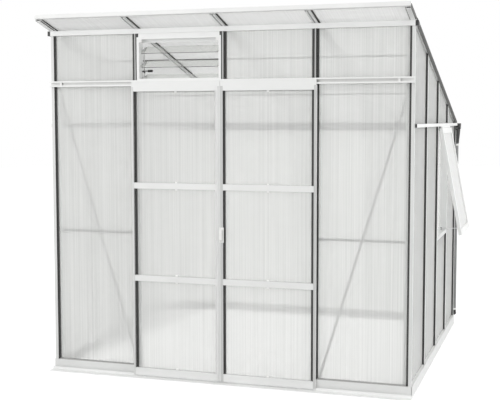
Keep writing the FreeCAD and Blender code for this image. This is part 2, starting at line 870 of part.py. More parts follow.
def make_rear_beam():
    back = "(beam_depth - beam_front)"
    slope_top = f"rear_height + {back} * roof_fall"
    body = new_body("rear_beam_body")
    beam = sketch_on(body, "rear_beam_section", "YZ_Plane", "-frame_width / 2")
    loop(beam, [
        ("0", "rear_beam_bottom"),
        (back, "rear_beam_bottom"),
        (back, slope_top),
        ("0", "rear_height"),
    ])
    loop(beam, [
        ("beam_wall", "rear_beam_bottom + beam_wall"),
        (f"{back} - beam_wall", "rear_beam_bottom + beam_wall"),
        (f"{back} - beam_wall", f"{slope_top} - 1.5 * beam_wall"),
        ("beam_wall", "rear_height - beam_wall"),
    ])
    pad(body, beam, "frame_width")
    length = "(frame_width + 2 * gutter_overhang)"
    front = "-gutter_width"
    floor = "gutter_floor + gutter_wall"
    rim = "gutter_floor + gutter_depth"
    trough = sketch_on(body, "gutter_section", "YZ_Plane", f"-{length} / 2")
    loop(trough, [
        ("0", "gutter_floor"),
        ("0", "gutter_floor + gutter_back"),
        ("-gutter_wall", "gutter_floor + gutter_back"),
        ("-gutter_wall", floor),
        (f"{front} + gutter_wall", floor),
        (f"{front} + gutter_wall", rim),
        (f"{front} - gutter_lip", rim),
        (f"{front} - gutter_lip", f"{rim} - gutter_wall"),
        (front, f"{rim} - gutter_wall"),
        (front, "gutter_floor"),
    ])
    pad(body, trough, length)
    hole = sketch_on(body, "gutter_hole", "XY_Plane", floor)
    ring(hole, "-outlet_x", "-pipe_setback", "outlet_bore / 2")
    cut(body, hole, "gutter_wall")
    node("rear_eave_gutter", on_wall(body, "rear"))
    cap = prism("gutter_cap_body", "YZ_Plane", [[
        ("0", "gutter_floor"),
        ("0", "gutter_floor + gutter_back"),
        (f"{front} / 2", rim),
        (f"{front} - gutter_lip", rim),
        (f"{front} - gutter_lip", f"{rim} - 2 * gutter_lip"),
        (f"{front} + gutter_lip", "gutter_floor"),
    ]], "gutter_cap", f"{length} / 2")
    on_wall(cap, "rear")
    return [cap, mirrored(cap, "gutter_cap_other")]


def make_drain():
    """Outlet funnel under the gutter, downpipe with two clips, and the shoe elbow."""
    centre_x = "outlet_x"
    centre_y = "frame_depth / 2 + pipe_setback"
    radius = "pipe_diameter / 2"
    funnel = new_body("outlet_body")
    sketch = sketch_on(funnel, "outlet_profile", "XZ_Plane")
    loop(sketch, [
        ("outlet_bore / 2", "gutter_floor"),
        ("outlet_diameter / 2", "gutter_floor"),
        ("outlet_diameter / 2", "gutter_floor - outlet_overlap"),
        (f"{radius} + 2 * pipe_wall", "pipe_top"),
        (f"{radius} + 2 * pipe_wall", "pipe_top - outlet_overlap"),
        (f"{radius}", "pipe_top - outlet_overlap"),
        (f"{radius}", "pipe_top"),
        ("outlet_bore / 2", "pipe_top"),
    ])
    turned(funnel, sketch, "V_Axis")
    place(funnel, centre_x, centre_y)

    pipe = new_body("downpipe_body")
    sketch = sketch_on(pipe, "downpipe_ring", "XY_Plane", "pipe_foot")
    ring(sketch, "0", "0", radius)
    ring(sketch, "0", "0", f"{radius} - pipe_wall")
    pad(pipe, sketch, "pipe_top - pipe_foot")
    place(pipe, centre_x, centre_y)

    elbow = new_body("elbow_body")
    sketch = sketch_on(elbow, "elbow_ring", "XY_Plane", "pipe_foot")
    ring(sketch, "0", "-elbow_radius", f"{radius}")
    ring(sketch, "0", "-elbow_radius", f"{radius} - pipe_wall")
    turned(elbow, sketch, "H_Axis", "90")
    place(elbow, centre_x, f"{centre_y} + elbow_radius")
    node("drain_fittings", funnel, elbow)
    node("downpipe", pipe)

    clips = []
    for name, level in (("pipe_clip_top", "pipe_top - outlet_overlap - pipe_clip_drop"),
                        ("pipe_clip_foot", "pipe_foot + pipe_wall")):
        clip = new_body(name)
        sketch = sketch_on(clip, f"{name}_band", "XY_Plane", level)
        ring(sketch, "0", "0", f"{radius} + 2 * pipe_wall")
        ring(sketch, "0", "0", radius)
        pad(clip, sketch, "pipe_clip_height")
        arm = sketch_on(clip, f"{name}_arm", "XY_Plane", level)
        low = f"-{radius} - 2 * pipe_wall"
        loop(arm, rectangle(low, f"-{radius} + pipe_wall", "-pipe_setback", "-pipe_wall"))
        loop(arm, rectangle(low, "-pipe_wall - gutter_lip", "-pipe_setback", "pipe_wall - pipe_setback"))
        clips.append(clip)
        place(clip, centre_x, centre_y)
    return clips


# Roof

def make_rafters():
    body = new_body("rafter_row")
    sketch = sketch_on(body, "rafter_section", "XZ_Plane", "-roof_start")
    loop(sketch, bar_section("-front_pitch", "(pane_back + inner_seal_thick)", "roof_seat_width",
                             "roof_bar_depth", "roof_bar_depth"))
    feature = pad(body, sketch, "roof_end - roof_start", True)
    row(body, feature, sketch, "H_Axis", "front_pitch", BAYS - 1)
    node("roof_rafters", on_roof(body))

    seat = "(roof_pane_base - inner_seal_thick)"
    edge = "frame_width / 2"
    right = prism("gable_rafter_right", "XZ_Plane", [[
        (edge, "0"),
        (edge, "roof_bar_depth"),
        (f"{edge} - gable_nose", "roof_bar_depth"),
        (f"{edge} - gable_nose", "roof_bar_depth - nose_thick"),
        (f"{edge} - gable_stem", "roof_bar_depth - nose_thick"),
        (f"{edge} - gable_stem", seat),
        (f"{edge} - gable_box", seat),
        (f"{edge} - gable_box", "0"),
    ], rectangle(f"{edge} - gable_box + channel_wall", f"{edge} - channel_wall",
                 "channel_wall", f"{seat} - channel_wall")],
        "roof_end - roof_start", "-roof_start", True)
    on_roof(right)
    node("gable_rafters", right, mirrored(right, "gable_rafter_left"))


def make_fascia():
    top = "roof_bar_depth"
    bottom = "roof_bar_depth - fascia_height"
    body = prism("fascia_body", "YZ_Plane", [
        rectangle("-roof_overhang", "roof_start", bottom, top),
        rectangle("beam_wall - roof_overhang", "roof_start - beam_wall",
                  f"{bottom} + beam_wall", f"{top} - beam_wall"),
    ], "frame_width", "-frame_width / 2")
    node("front_fascia", on_roof(body))


def roof_stem_faces(bay):
    left_reach = "(gable_stem - corner_nose / 2)" if bay == 0 else "stem_width / 2"
    right_reach = "(gable_stem - corner_nose / 2)" if bay == BAYS - 1 else "stem_width / 2"
    return f"({bar_at('front', bay)} + {left_reach})", f"({bar_at('front', bay + 1)} - {right_reach})"


ROOF_ROWS = 3


def roof_line(index):
    """Distance down the slope of the line between two rows of roof panes."""
    return f"(roof_start + {index} / {ROOF_ROWS} * (roof_end - roof_start))"


def make_roof_panes():
    pieces = []
    for bay in range(BAYS):
        left, right = roof_stem_faces(bay)
        for step in range(ROOF_ROWS):
            start = roof_line(step) + (" + joint_web / 2" if step else "")
            end = roof_line(step + 1) + (" - joint_web / 2" if step < ROOF_ROWS - 1 else " - joint_web")
            body = prism(f"roof_pane_{bay}_{step}", "XY_Plane", [
                rectangle(f"{left} + pane_gap", f"{right} - pane_gap", start, end),
            ], "pane_thick", "roof_pane_base")
            pieces.append(on_roof(body))
    node("roof_panes", *pieces)


def make_roof_joints():
    """H strips between the rows of panes and a U strip along their lower ends."""
    pieces = []
    top = "roof_pane_base + pane_thick"
    for bay in range(BAYS):
        left, right = roof_stem_faces(bay)
        start = f"{left} + inner_seal_width + pane_gap"
        length = f"{right} - {left} - 2 * (inner_seal_width + pane_gap)"
        for step in range(1, ROOF_ROWS):
            line = roof_line(step)
            section = [
                (f"{line} - joint_flange", f"{top} + joint_web"),
                (f"{line} - joint_flange", top),
                (f"{line} - joint_web / 2", top),
                (f"{line} - joint_web / 2", "roof_pane_base"),
                (f"{line} - joint_flange", "roof_pane_base"),
                (f"{line} - joint_flange", "roof_pane_base - joint_web"),
                (f"{line} + joint_flange", "roof_pane_base - joint_web"),
                (f"{line} + joint_flange", "roof_pane_base"),
                (f"{line} + joint_web / 2", "roof_pane_base"),
                (f"{line} + joint_web / 2", top),
                (f"{line} + joint_flange", top),
                (f"{line} + joint_flange", f"{top} + joint_web"),
            ]
            body = prism(f"roof_joint_{bay}_{step}", "YZ_Plane", [section], length, start)
            pieces.append(on_roof(body))
        end = "roof_end"
        section = [
            (end, "roof_pane_base - joint_web"),
            (end, f"{top} + joint_web"),
            (f"{end} - joint_flange", f"{top} + joint_web"),
            (f"{end} - joint_flange", top),
            (f"{end} - joint_web", top),
            (f"{end} - joint_web", "roof_pane_base"),
            (f"{end} - joint_flange", "roof_pane_base"),
            (f"{end} - joint_flange", "roof_pane_base - joint_web"),
        ]
        body = prism(f"roof_end_strip_{bay}", "YZ_Plane", [section], length, start)
        pieces.append(on_roof(body))
    node("roof_joint_strips", *pieces)


def make_roof_seals():
    pieces = []
    length = "roof_end - roof_start"
    for bay in range(BAYS):
        left, right = roof_stem_faces(bay)
        for side, face, sign in (("left", left, "+"), ("right", right, "-")):
            outer = prism(f"roof_seal_{bay}_{side}", "XZ_Plane",
                          [seal_section(face, sign, "roof_bar_depth")], length, "-roof_start", True)
            inner = prism(f"roof_inner_seal_{bay}_{side}", "XZ_Plane", [
                rectangle(face, f"{face} {sign} inner_seal_width",
                          "roof_pane_base - inner_seal_thick", "roof_pane_base"),
            ], length, "-roof_start", True)
            pieces += [on_roof(outer), on_roof(inner)]
    edge = "frame_width / 2"
    strip = prism("gable_strip_right", "XZ_Plane", [
        rectangle(edge, f"{edge} + gable_strip_thick", "-gable_strip_drop", "roof_bar_depth"),
    ], "roof_end - beam_depth", "-beam_depth", True)
    on_roof(strip)
    node("roof_seals", *pieces)
    node("gable_strips", strip, mirrored(strip, "gable_strip_left"))


# Side rails outside the walls

def make_side_rails():
    """Channel along each side wall, standing clear of the gable strip above it, with its plugs."""
    pieces = []
    plugs = []
    low = "side_rail_level - side_rail_height / 2"
    high = "side_rail_level + side_rail_height / 2"
    inner = "-gable_strip_thick - running_gap"
    outer = f"{inner} - side_rail_depth"
    for wall in ("left", "right"):
        near = "side_rail_inset" if wall == "right" else "side_rail_tail"
        far = "side_rail_tail" if wall == "right" else "side_rail_inset"
        body = prism(f"side_rail_{wall}", "YZ_Plane", [[
            (outer, low),
            ("0", low),
            ("0", f"{low} + channel_wall"),
            (f"{outer} + channel_wall", f"{low} + channel_wall"),
            (f"{outer} + channel_wall", f"{high} - channel_wall"),
            (inner, f"{high} - channel_wall"),
            (inner, high),
            (outer, high),
        ]], f"frame_depth - {near} - {far}", f"{near} - frame_depth / 2")
        pieces.append(on_wall(body, wall))
        for name, start in (("low", f"{near} - rail_plug - frame_depth / 2"),
                            ("high", f"frame_depth / 2 - {far}")):
            plug = prism(f"rail_plug_{wall}_{name}", "YZ_Plane",
                         [rectangle(outer, inner, low, high)], "rail_plug", start)
            plugs.append(on_wall(plug, wall))
    return pieces, plugs


# Panes and seals of the walls

def pane(name, wall, bay, bottom, top):
    left, right = pane_edges(wall, bay)
    body = prism(name, "XZ_Plane", [rectangle(left, right, bottom, top)],
                 "pane_thick", "-pane_setback", True)
    return on_wall(body, wall)


def make_wall_panes():
    low = "flange_thick"
    under = "transom_level - joint_web"
    over = "transom_level + joint_web"
    node("front_panes",
         pane("front_pane_left", "front", 0, low, under),
         pane("front_pane_right", "front", 3, low, under),
         pane("fanlight_left", "front", 0, over, "beam_bottom"),
         pane("fanlight_middle", "front", 2, "lintel_top", "beam_bottom"),
         pane("fanlight_right", "front", 3, over, "beam_bottom"))
    node("rear_panes", *[pane(f"rear_pane_{bay}", "rear", bay, low, "rear_beam_bottom")
                         for bay in range(BAYS)])
    under = "side_rail_level - joint_web"
    over = "side_rail_level + joint_web"
    pieces = []
    for wall in ("left", "right"):
        for bay in range(BAYS):
            top = "window_sill_bottom" if is_window(wall, bay) else under
            lower = pane(f"side_pane_{wall}_{bay}", wall, bay, low, top)
            upper = pane(f"gable_pane_{wall}_{bay}", wall, bay, over, "front_height")
            trim_to_roof(upper, wall)
            if touches_roof(wall, bay):
                notch_for_beam(lower, wall, "rear_beam_bottom", True)
                notch_for_beam(upper, wall, "rear_beam_bottom", True)
            if bay == (0 if wall == "right" else BAYS - 1):
                notch_for_beam(upper, wall, "beam_bottom", False)
            pieces += [lower, upper]
    node("side_panes", *pieces)


WINDOW_BAY = 2


def is_window(wall, bay):
    return wall == "right" and bay == WINDOW_BAY


def touches_roof(wall, bay):
    """The bay beside the rear corner, where the roof comes down to the side rail."""
    return bay == (BAYS - 1 if wall == "right" else 0)


def roof_meets_transom(wall, bay):
    """A flat roof comes down on the transom beside the rear corner; a steep one clears it."""
    roof = value("rear_height + bar_depth * roof_fall")
    return touches_roof(wall, bay) and roof < value("side_rail_level + transom_height / 2")


def make_wall_seals():
    low = "sill_height"
    pieces = []
    for wall in WALLS:
        for bay in range(BAYS):
            left, right = stem_faces(wall, bay)
            spans = seal_spans(wall, bay)
            for side, face, sign in (("left", left, "+"), ("right", right, "-")):
                for part, (bottom, top) in enumerate(spans):
                    top = seal_top(wall, bay, side, top)
                    name = f"seal_{wall}_{bay}_{side}_{part}"
                    body = seal(name, wall, face, sign, bottom, top)
                    if top == "front_height":
                        trim_to_roof(body, wall)
                    pieces.append(body)
    node("wall_seals", *pieces)


def seal_top(wall, bay, side, top):
    """Strips beside a corner post end under the beam that lies on it."""
    corner = (bay == 0 and side == "left") or (bay == BAYS - 1 and side == "right")
    if wall in ("front", "rear") or not corner:
        return top
    rear = (wall == "right") == (bay == BAYS - 1)
    return "rear_beam_bottom" if rear else "beam_bottom"


def seal_spans(wall, bay):
    """Bottom and top of the rubber strips at the edges of one bay."""
    if wall == "rear":
        return [("sill_height", "rear_beam_bottom")]
    if wall == "front":
        return {
            0: [("sill_height", "beam_bottom")],
            1: [],
            2: [("lintel_top", "beam_bottom")],
            3: [("sill_height", "beam_bottom")],
        }[bay]
    if is_window(wall, bay):
        above = "side_rail_level + transom_height / 2"
        return [("sill_height", "window_sill_bottom"), (above, "front_height")]
    return [("sill_height", "front_height")]


# Door track, doors and rollers

def make_track():
    front = "-track_depth"
    inner_front = "track_wall - track_depth"
    top = "track_bottom + track_height"
    ridge = "roller_plane"
    body = prism("track_body", "YZ_Plane", [[
        (front, "track_bottom"),
        ("0", "track_bottom"),
        ("0", top),
        (front, top),
        (front, f"{top} - track_lip"),
        (inner_front, f"{top} - track_lip"),
        (inner_front, f"{top} - track_wall"),
        ("-track_wall", f"{top} - track_wall"),
        ("-track_wall", "track_floor"),
        (f"track_ridge / 2 - {ridge}", "track_floor"),
        (f"track_ridge / 2 - {ridge}", "ridge_top"),
        (f"-track_ridge / 2 - {ridge}", "ridge_top"),
        (f"-track_ridge / 2 - {ridge}", "track_floor"),
        (inner_front, "track_floor"),
        (inner_front, "track_bottom + track_lip"),
        (front, "track_bottom + track_lip"),
    ]], "frame_width", "-frame_width / 2")
    node("door_track", on_wall(body, "front"))

    stops = []
    for side in ("left", "right"):
        inner, outer = roller_places(side)
        sign = "-" if side == "left" else "+"
        other = "+" if side == "left" else "-"
        reach = "(roller_radius + running_gap)"
        shut = f"{inner} {other} {reach}"
        open_end = f"{outer} {sign} (door_travel + {reach})"
        for name, face, way in ((f"stop_{side}_shut", shut, other), (f"stop_{side}_open", open_end, sign)):
            low, high = face, f"{face} {way} stop_length"
            block = prism(name, "XZ_Plane", [
                rectangle(low, high, "ridge_top", f"{top} - track_wall"),
            ], "track_depth - 3 * track_wall", "1.5 * track_wall")
            stops.append(on_wall(block, "front"))
    node("door_stops", *stops)


def door_edges(side):
    """Closing edge and outer edge of a door along the front wall."""
    if side == "left":
        return "(-left_door_edge)", "(-door_outer)"
    return "(-right_door_edge)", "door_outer"


def roller_places(side):
    """Places of the inner and the outer roller along the front wall."""
    closing, outer = door_edges(side)
    middle = f"(({closing} + {outer}) / 2)"
    if side == "left":
        return f"({middle} + roller_spread)", f"({middle} - roller_spread)"
    return f"({middle} - roller_spread)", f"({middle} + roller_spread)"


def stile_section(edge, sign):
    """Box, nose overhang and seat flange of a door stile, from its outer edge."""
    reach = "(nose_width + seal_lip)"
    steps = [
        ("0", "0"),
        ("nose_width", "0"),
        ("nose_width", "nose_thick"),
        ("stile_box", "nose_thick"),
        ("stile_box", "rail_depth"),
        (reach, "rail_depth"),
        (reach, "door_depth"),
        ("0", "door_depth"),
    ]
    return [(f"{edge} {sign} {along}", f"{inward} - door_front") for along, inward in steps]


def door_seal_section(edge, sign):
    steps = [
        ("stile_box", "nose_thick"),
        ("nose_width", "nose_thick"),
        ("nose_width", "pane_setback - seal_lip_thick"),
        ("nose_width + seal_lip", "pane_setback - seal_lip_thick"),
        ("nose_width + seal_lip", "pane_setback"),
        ("stile_box", "pane_setback"),
    ]
    return [(f"{edge} {sign} ({along})", f"{inward} - door_front") for along, inward in steps]


DOOR_SPANS = [
    ("door_bottom + door_foot_height", "door_rail_low - door_rail_height / 2"),
    ("door_rail_low + door_rail_height / 2", "door_rail_high - door_rail_height / 2"),
    ("door_rail_high + door_rail_height / 2", "door_top - door_head_height"),
]


def make_door(side):
    closing, outer = door_edges(side)
    inward = "+" if side == "left" else "-"
    outward = "-" if side == "left" else "+"
    pieces = []
    for name, edge, sign in (("outer", outer, inward), ("closing", closing, outward)):
        hollow = rectangle(f"{edge} {sign} channel_wall", f"{edge} {sign} (stile_box - channel_wall)",
                           "channel_wall - door_front", "door_depth - channel_wall - door_front")
        stile = prism(f"door_{side}_{name}_stile", "XY_Plane", [stile_section(edge, sign), hollow],
                      "door_height", "door_bottom")
        slot = sketch_on(stile, f"door_{side}_{name}_slot", "YZ_Plane")
        loop(slot, rectangle("-door_centre_depth - glide_width / 2", "-door_centre_depth + glide_width / 2",
                             "0", "door_bottom + glide_height"))
        cut(stile, slot)
        pieces.append(on_wall(stile, "front"))

    ends = sorted((f"{outer} {inward} nose_width", f"{closing} {outward} nose_width"), key=value)
    front = "-door_front"
    back = "rail_depth - door_front"
    rails = {
        "low": ("door_rail_low - door_rail_height / 2", "door_rail_low + door_rail_height / 2"),
        "high": ("door_rail_high - door_rail_height / 2", "door_rail_high + door_rail_height / 2"),
    }
    for name, (bottom, top) in rails.items():
        rail = prism(f"door_{side}_{name}_rail", "YZ_Plane", [
            rectangle(front, back, bottom, top),
            rectangle(f"{front} + channel_wall", f"{back} - channel_wall",
                      f"{bottom} + channel_wall", f"{top} - channel_wall"),
        ], f"{ends[1]} - ({ends[0]})", ends[0])
        pieces.append(on_wall(rail, "front"))
    pieces.append(on_wall(door_foot_rail(side, ends), "front"))
    pieces.append(on_wall(door_head_rail(side, ends, closing, outer), "front"))
    if side == "left":
        far = f"{closing} + closing_strip_thick"
        near = f"{far} - closing_strip_width"
        strip = prism("closing_strip", "XY_Plane", [[
            (near, "-door_front - closing_strip_thick"),
            (far, "-door_front - closing_strip_thick"),
            (far, "-door_front - running_gap"),
            (closing, "-door_front - running_gap"),
            (closing, "-door_front"),
            (near, "-door_front"),
        ]], "door_height", "door_bottom")
        pieces.append(on_wall(strip, "front"))
    node(f"door_{side}_frame", *pieces)

    panes = []
    seals = []
    pane_ends = sorted((f"{outer} {inward} (stile_box + pane_gap)",
                        f"{closing} {outward} (stile_box + pane_gap)"), key=value)
    for index, (bottom, top) in enumerate(DOOR_SPANS):
        sheet_body = prism(f"door_{side}_pane_{index}", "XZ_Plane", [
            rectangle(pane_ends[0], pane_ends[1], bottom, top),
        ], "pane_thick", "door_front - pane_setback", True)
        panes.append(on_wall(sheet_body, "front"))
        for name, edge, sign in (("outer", outer, inward), ("closing", closing, outward)):
            strip = prism(f"door_{side}_seal_{name}_{index}", "XY_Plane",
                          [door_seal_section(edge, sign)], f"{top} - ({bottom})", bottom)
            seals.append(on_wall(strip, "front"))
    node(f"door_{side}_panes", *panes)
    node(f"door_{side}_seals", *seals)
    make_door_clips(side)
    make_door_glides(side)
    make_door_rollers(side)


def clip_tab(name, wall, middle, face, bottom):
    """Small tab on a pane's outer face, beside the rail that it hooks into."""
    tab = prism(name, "XZ_Plane", [
        rectangle(f"{middle} - clip_tab_width / 2", f"{middle} + clip_tab_width / 2",
                  bottom, f"{bottom} + clip_tab_height"),
    ], "clip_tab_thick", face)
    return on_wall(tab, wall)


def make_door_clips(side):
    """Two tabs in the middle of each pane, at its lower and its upper rail."""
    middle = f"(({' + '.join(door_edges(side))}) / 2)"
    tabs = []
    levels = []
    for bottom, top in DOOR_SPANS:
        levels += [bottom, f"({top} - clip_tab_height)"]
    for index, level in enumerate(levels):
        tabs.append(clip_tab(f"door_{side}_clip_{index}", "front", middle,
                             "door_front - pane_setback", level))
    node(f"door_{side}_clips", *tabs)


def door_foot_rail(side, ends):
    """Bottom rail with a groove under it for the glides and the guide rib."""
    front = "-door_front"
    back = "(rail_depth - door_front)"
    middle = "-door_centre_depth"
    bottom = "door_bottom"
    top = "door_bottom + door_foot_height"
    body = new_body(f"door_{side}_foot_rail")
    sketch = sketch_on(body, f"door_{side}_foot_section", "YZ_Plane", ends[0])
    roof = "door_bottom + glide_height + channel_wall"
    loop(sketch, [
        (front, bottom),
        (f"{middle} - glide_width / 2", bottom),
        (f"{middle} - glide_width / 2", "door_bottom + glide_height"),
        (f"{middle} + glide_width / 2", "door_bottom + glide_height"),
        (f"{middle} + glide_width / 2", bottom),
        (back, bottom),
        (back, top),
        (front, top),
    ])
    loop(sketch, rectangle(f"{front} + channel_wall", f"{back} - channel_wall",
                           roof, f"{top} - channel_wall"))
    pad(body, sketch, f"{ends[1]} - ({ends[0]})")
    return body


def door_head_rail(side, ends, closing, outer):
    """Top rail with the hanger plate that stands in front of the track."""
    front = "-door_front"
    back = "(rail_depth - door_front)"
    bottom = "door_top - door_head_height"
    top = "door_top"
    body = new_body(f"door_{side}_head_rail")
    sketch = sketch_on(body, f"door_{side}_head_section", "YZ_Plane", ends[0])
    loop(sketch, rectangle(front, back, bottom, top))
    loop(sketch, rectangle(f"{front} + channel_wall", f"{back} - channel_wall",
                           f"{bottom} + channel_wall", f"{top} - channel_wall"))
    pad(body, sketch, f"{ends[1]} - ({ends[0]})")
    low, high = sorted((closing, outer), key=value)
    plate = sketch_on(body, f"door_{side}_hanger_plate", "YZ_Plane", low)
    loop(plate, rectangle(front, f"{front} + hanger_thick", top, f"{top} + hanger_height"))
    pad(body, plate, f"{high} - ({low})")
    axles = sketch_on(body, f"door_{side}_axles", "XZ_Plane", "door_front - hanger_thick")
    for place_along in roller_places(side):
        ring(axles, place_along, "axle_level", "axle_diameter / 2")
    pad(body, axles, "door_front - hanger_thick - roller_plane + roller_width / 2 + track_wall", True)
    return body


def make_door_glides(side):
    """Nylon blocks in the bottom rail that straddle the guide rib."""
    blocks = []
    middle = "-door_centre_depth"
    slot = "(guide_rib / 2 + 2 * running_gap)"
    for name, along in zip(("inner", "outer"), roller_places(side)):
        bottom = "door_bottom + running_gap"
        top = "door_bottom + glide_height"
        crown = "flange_thick + guide_rib_height + 3 * running_gap"
        block = prism(f"glide_{side}_{name}", "YZ_Plane", [[
            (f"{middle} - glide_width / 2", bottom),
            (f"{middle} - {slot}", bottom),
            (f"{middle} - {slot}", crown),
            (f"{middle} + {slot}", crown),
            (f"{middle} + {slot}", bottom),
            (f"{middle} + glide_width / 2", bottom),
            (f"{middle} + glide_width / 2", top),
            (f"{middle} - glide_width / 2", top),
        ]], "glide_length", f"{along} - glide_length / 2")
        blocks.append(on_wall(block, "front"))
    node(f"door_{side}_glides", *blocks)


def make_door_rollers(side):
    """Grooved rollers that run on the ridge of the track."""
    half = "roller_width / 2"
    groove = "(track_ridge / 2 + running_gap)"
    for name, along in zip(("inner", "outer"), roller_places(side)):
        body = new_body(f"roller_{side}_{name}")
        sketch = sketch_on(body, f"roller_{side}_{name}_profile", "XY_Plane")
        loop(sketch, [
            ("axle_diameter / 2 + bore_gap", f"-{half}"),
            ("roller_radius", f"-{half}"),
            ("roller_radius", f"-{groove}"),
            ("groove_radius", f"-{groove}"),
            ("groove_radius", groove),
            ("roller_radius", groove),
            ("roller_radius", half),
            ("axle_diameter / 2 + bore_gap", half),
        ])
        turned(body, sketch, "V_Axis")
        place(body, along, "-frame_depth / 2 - roller_plane", "axle_level")
        node(f"door_{side}_{name}_roller", body)


def make_handle():
    """Fixed bow handle on the right door's closing stile."""
    middle = "(nose_width / 2 - right_door_edge)"
    low = "handle_level - handle_height / 2"
    high = "handle_level + handle_height / 2"
    foot = "closing_strip_thick + running_gap"
    plate_front = f"-door_front - {foot} - handle_thick / 2"
    body = new_body("handle_body")
    base = sketch_on(body, "handle_base", "XZ_Plane", "door_front")
    near = "closing_strip_thick - left_door_edge + 2 * running_gap"
    loop(base, rectangle(near, f"{middle} + nose_width / 2", f"{low} + handle_thick",
                         f"{high} - handle_thick"))
    pad(body, base, foot)
    plate = sketch_on(body, "handle_plate", "XZ_Plane", f"door_front + {foot}")
    loop(plate, rectangle(f"{middle} - handle_width / 2", f"{middle} + handle_width / 2", low, high))
    pad(body, plate, "handle_thick / 2")
    bow = sketch_on(body, "handle_bow", "YZ_Plane", f"{middle} - handle_width / 4")
    reach = "-door_front - handle_reach"
    loop(bow, [
        (plate_front, f"{low} + handle_thick"),
        (reach, f"{low} + 3 * handle_thick"),
        (reach, f"{high} - 3 * handle_thick"),
        (plate_front, f"{high} - handle_thick"),
        (plate_front, f"{high} - 2 * handle_thick"),
        (f"{reach} + handle_thick", f"{high} - 3.5 * handle_thick"),
        (f"{reach} + handle_thick", f"{low} + 3.5 * handle_thick"),
        (plate_front, f"{low} + 2 * handle_thick"),
    ])
    pad(body, bow, "handle_width / 2")
    node("door_handle", on_wall(body, "front"))


# Louvre window

LOUVRE_MIDDLE = "(-front_pitch / 2)"


def make_louvre_frame():
    """Four members round the slats; the side members carry the pivots."""
    bottom = "lintel_top"
    top = "beam_bottom"
    left = f"({LOUVRE_MIDDLE} - louvre_half)"
    right = f"({LOUVRE_MIDDLE} + louvre_half)"
    pieces = []
    for name, edge, sign in (("left", left, "+"), ("right", right, "-")):
        body = new_body(f"louvre_stile_{name}")
        inner = f"{edge} {sign} louvre_stile"
        seat_edge = f"{edge} {sign} (seat_width / 2 - louvre_margin + pane_gap)"
        sketch = sketch_on(body, f"louvre_stile_{name}_section", "XY_Plane", bottom)
        loop(sketch, [
            (edge, "0"),
            (inner, "0"),
            (inner, "louvre_depth"),
            (seat_edge, "louvre_depth"),
            (seat_edge, "pane_back"),
            (edge, "pane_back"),
        ])
        pad(body, sketch, f"{top} - {bottom}")
        holes = sketch_on(body, f"louvre_stile_{name}_pivots", "YZ_Plane", inner)
        for level in slat_levels() + (["lever_level"] if name == "left" else []):
            ring(holes, "slat_setback", level, "pivot_diameter / 2 + bore_gap")
        cut(body, holes, "louvre_stile", back=name == "right")
        pieces.append(on_wall(body, "front"))
    inner_left = f"{left} + louvre_stile"
    width = "2 * louvre_inner"
    foot = prism("louvre_foot_rail", "YZ_Plane", [[
        ("0", bottom),
        ("louvre_depth", bottom),
        ("louvre_depth", f"{bottom} + louvre_foot + louvre_lip"),
        ("louvre_depth - slat_thick", f"{bottom} + louvre_foot + louvre_lip"),
        ("louvre_depth - slat_thick", f"{bottom} + louvre_foot"),
        ("channel_wall", f"{bottom} + louvre_foot"),
        ("channel_wall", f"{bottom} + louvre_apron"),
        ("0", f"{bottom} + louvre_apron"),
    ]], width, inner_left)
    head = prism("louvre_head_rail", "YZ_Plane", [[
        ("0", f"{top} - louvre_head"),
        ("slat_setback - slat_thick", f"{top} - louvre_head"),
        ("slat_setback - slat_thick", f"{top} - louvre_head - louvre_lip"),
        ("slat_setback - slat_thick / 4", f"{top} - louvre_head - louvre_lip"),
        ("slat_setback - slat_thick / 4", f"{top} - louvre_head"),
        ("louvre_depth", f"{top} - louvre_head"),
        ("louvre_depth", top),
        ("0", top),
    ]], width, inner_left)
    pieces += [on_wall(foot, "front"), on_wall(head, "front")]
    node("louvre_frame", *pieces)
    blocks = []
    under = f"{top} - louvre_head"
    for name, low in (("left", inner_left), ("right", f"{right} - louvre_stile - louvre_block")):
        block = prism(f"louvre_block_{name}", "XZ_Plane", [
            rectangle(low, f"{low} + louvre_block", f"{under} - louvre_block", under),
        ], "louvre_block_thick", back=True)
        blocks.append(on_wall(block, "front"))
    return blocks


def slat_levels():
    return [f"(slat_level - {index} * slat_pitch)" for index in range(3)]


def slat_frame(body, level):
    """Stand a piece at its pivot, turned to the open rest angle."""
    return place(body, LOUVRE_MIDDLE, "slat_setback - frame_depth / 2", level, -X_AXIS, "slat_angle")


CRANK_FACE = "(link_gap - louvre_inner)"
FAR_FACE = "(louvre_inner - side_gap)"


def make_slats():
    """Glass slats whose end clips turn on pins in the frame's side members."""
    for name, level in zip(("top", "middle", "low"), slat_levels()):
        glass = prism(f"slat_glass_{name}", "XZ_Plane", [
            rectangle(f"{CRANK_FACE} + clip_width / 2", f"{FAR_FACE} - clip_width / 2",
                      "-slat_width / 2", "slat_width / 2"),
        ], "slat_thick", "-slat_thick / 2")
        node(f"louvre_slat_{name}", slat_frame(glass, level))
        clips = []
        for side, edge, sign in (("left", CRANK_FACE, "+"), ("right", FAR_FACE, "-")):
            clip = new_body(f"slat_clip_{name}_{side}")
            block = sketch_on(clip, f"slat_clip_{name}_{side}_block", "YZ_Plane", edge)
            loop(block, rectangle("-clip_thick / 2", "clip_thick / 2",
                                  "-clip_length / 2", "clip_length / 2"))
            pad(clip, block, "clip_width", back=side == "right")
            groove = sketch_on(clip, f"slat_clip_{name}_{side}_groove", "XZ_Plane", "-slat_thick / 2")
            ends = sorted((f"{edge} {sign} clip_width / 2", f"{edge} {sign} 2 * clip_width"), key=value)
            loop(groove, rectangle(ends[0], ends[1], "-slat_width", "slat_width"))
            cut(clip, groove, "slat_thick", back=True)
            add_pivot(clip, f"slat_{name}_{side}", edge, side == "left")
            if side == "left":
                add_crank(clip, name)
            clips.append(slat_frame(clip, level))
        node(f"louvre_clips_{name}", *clips)


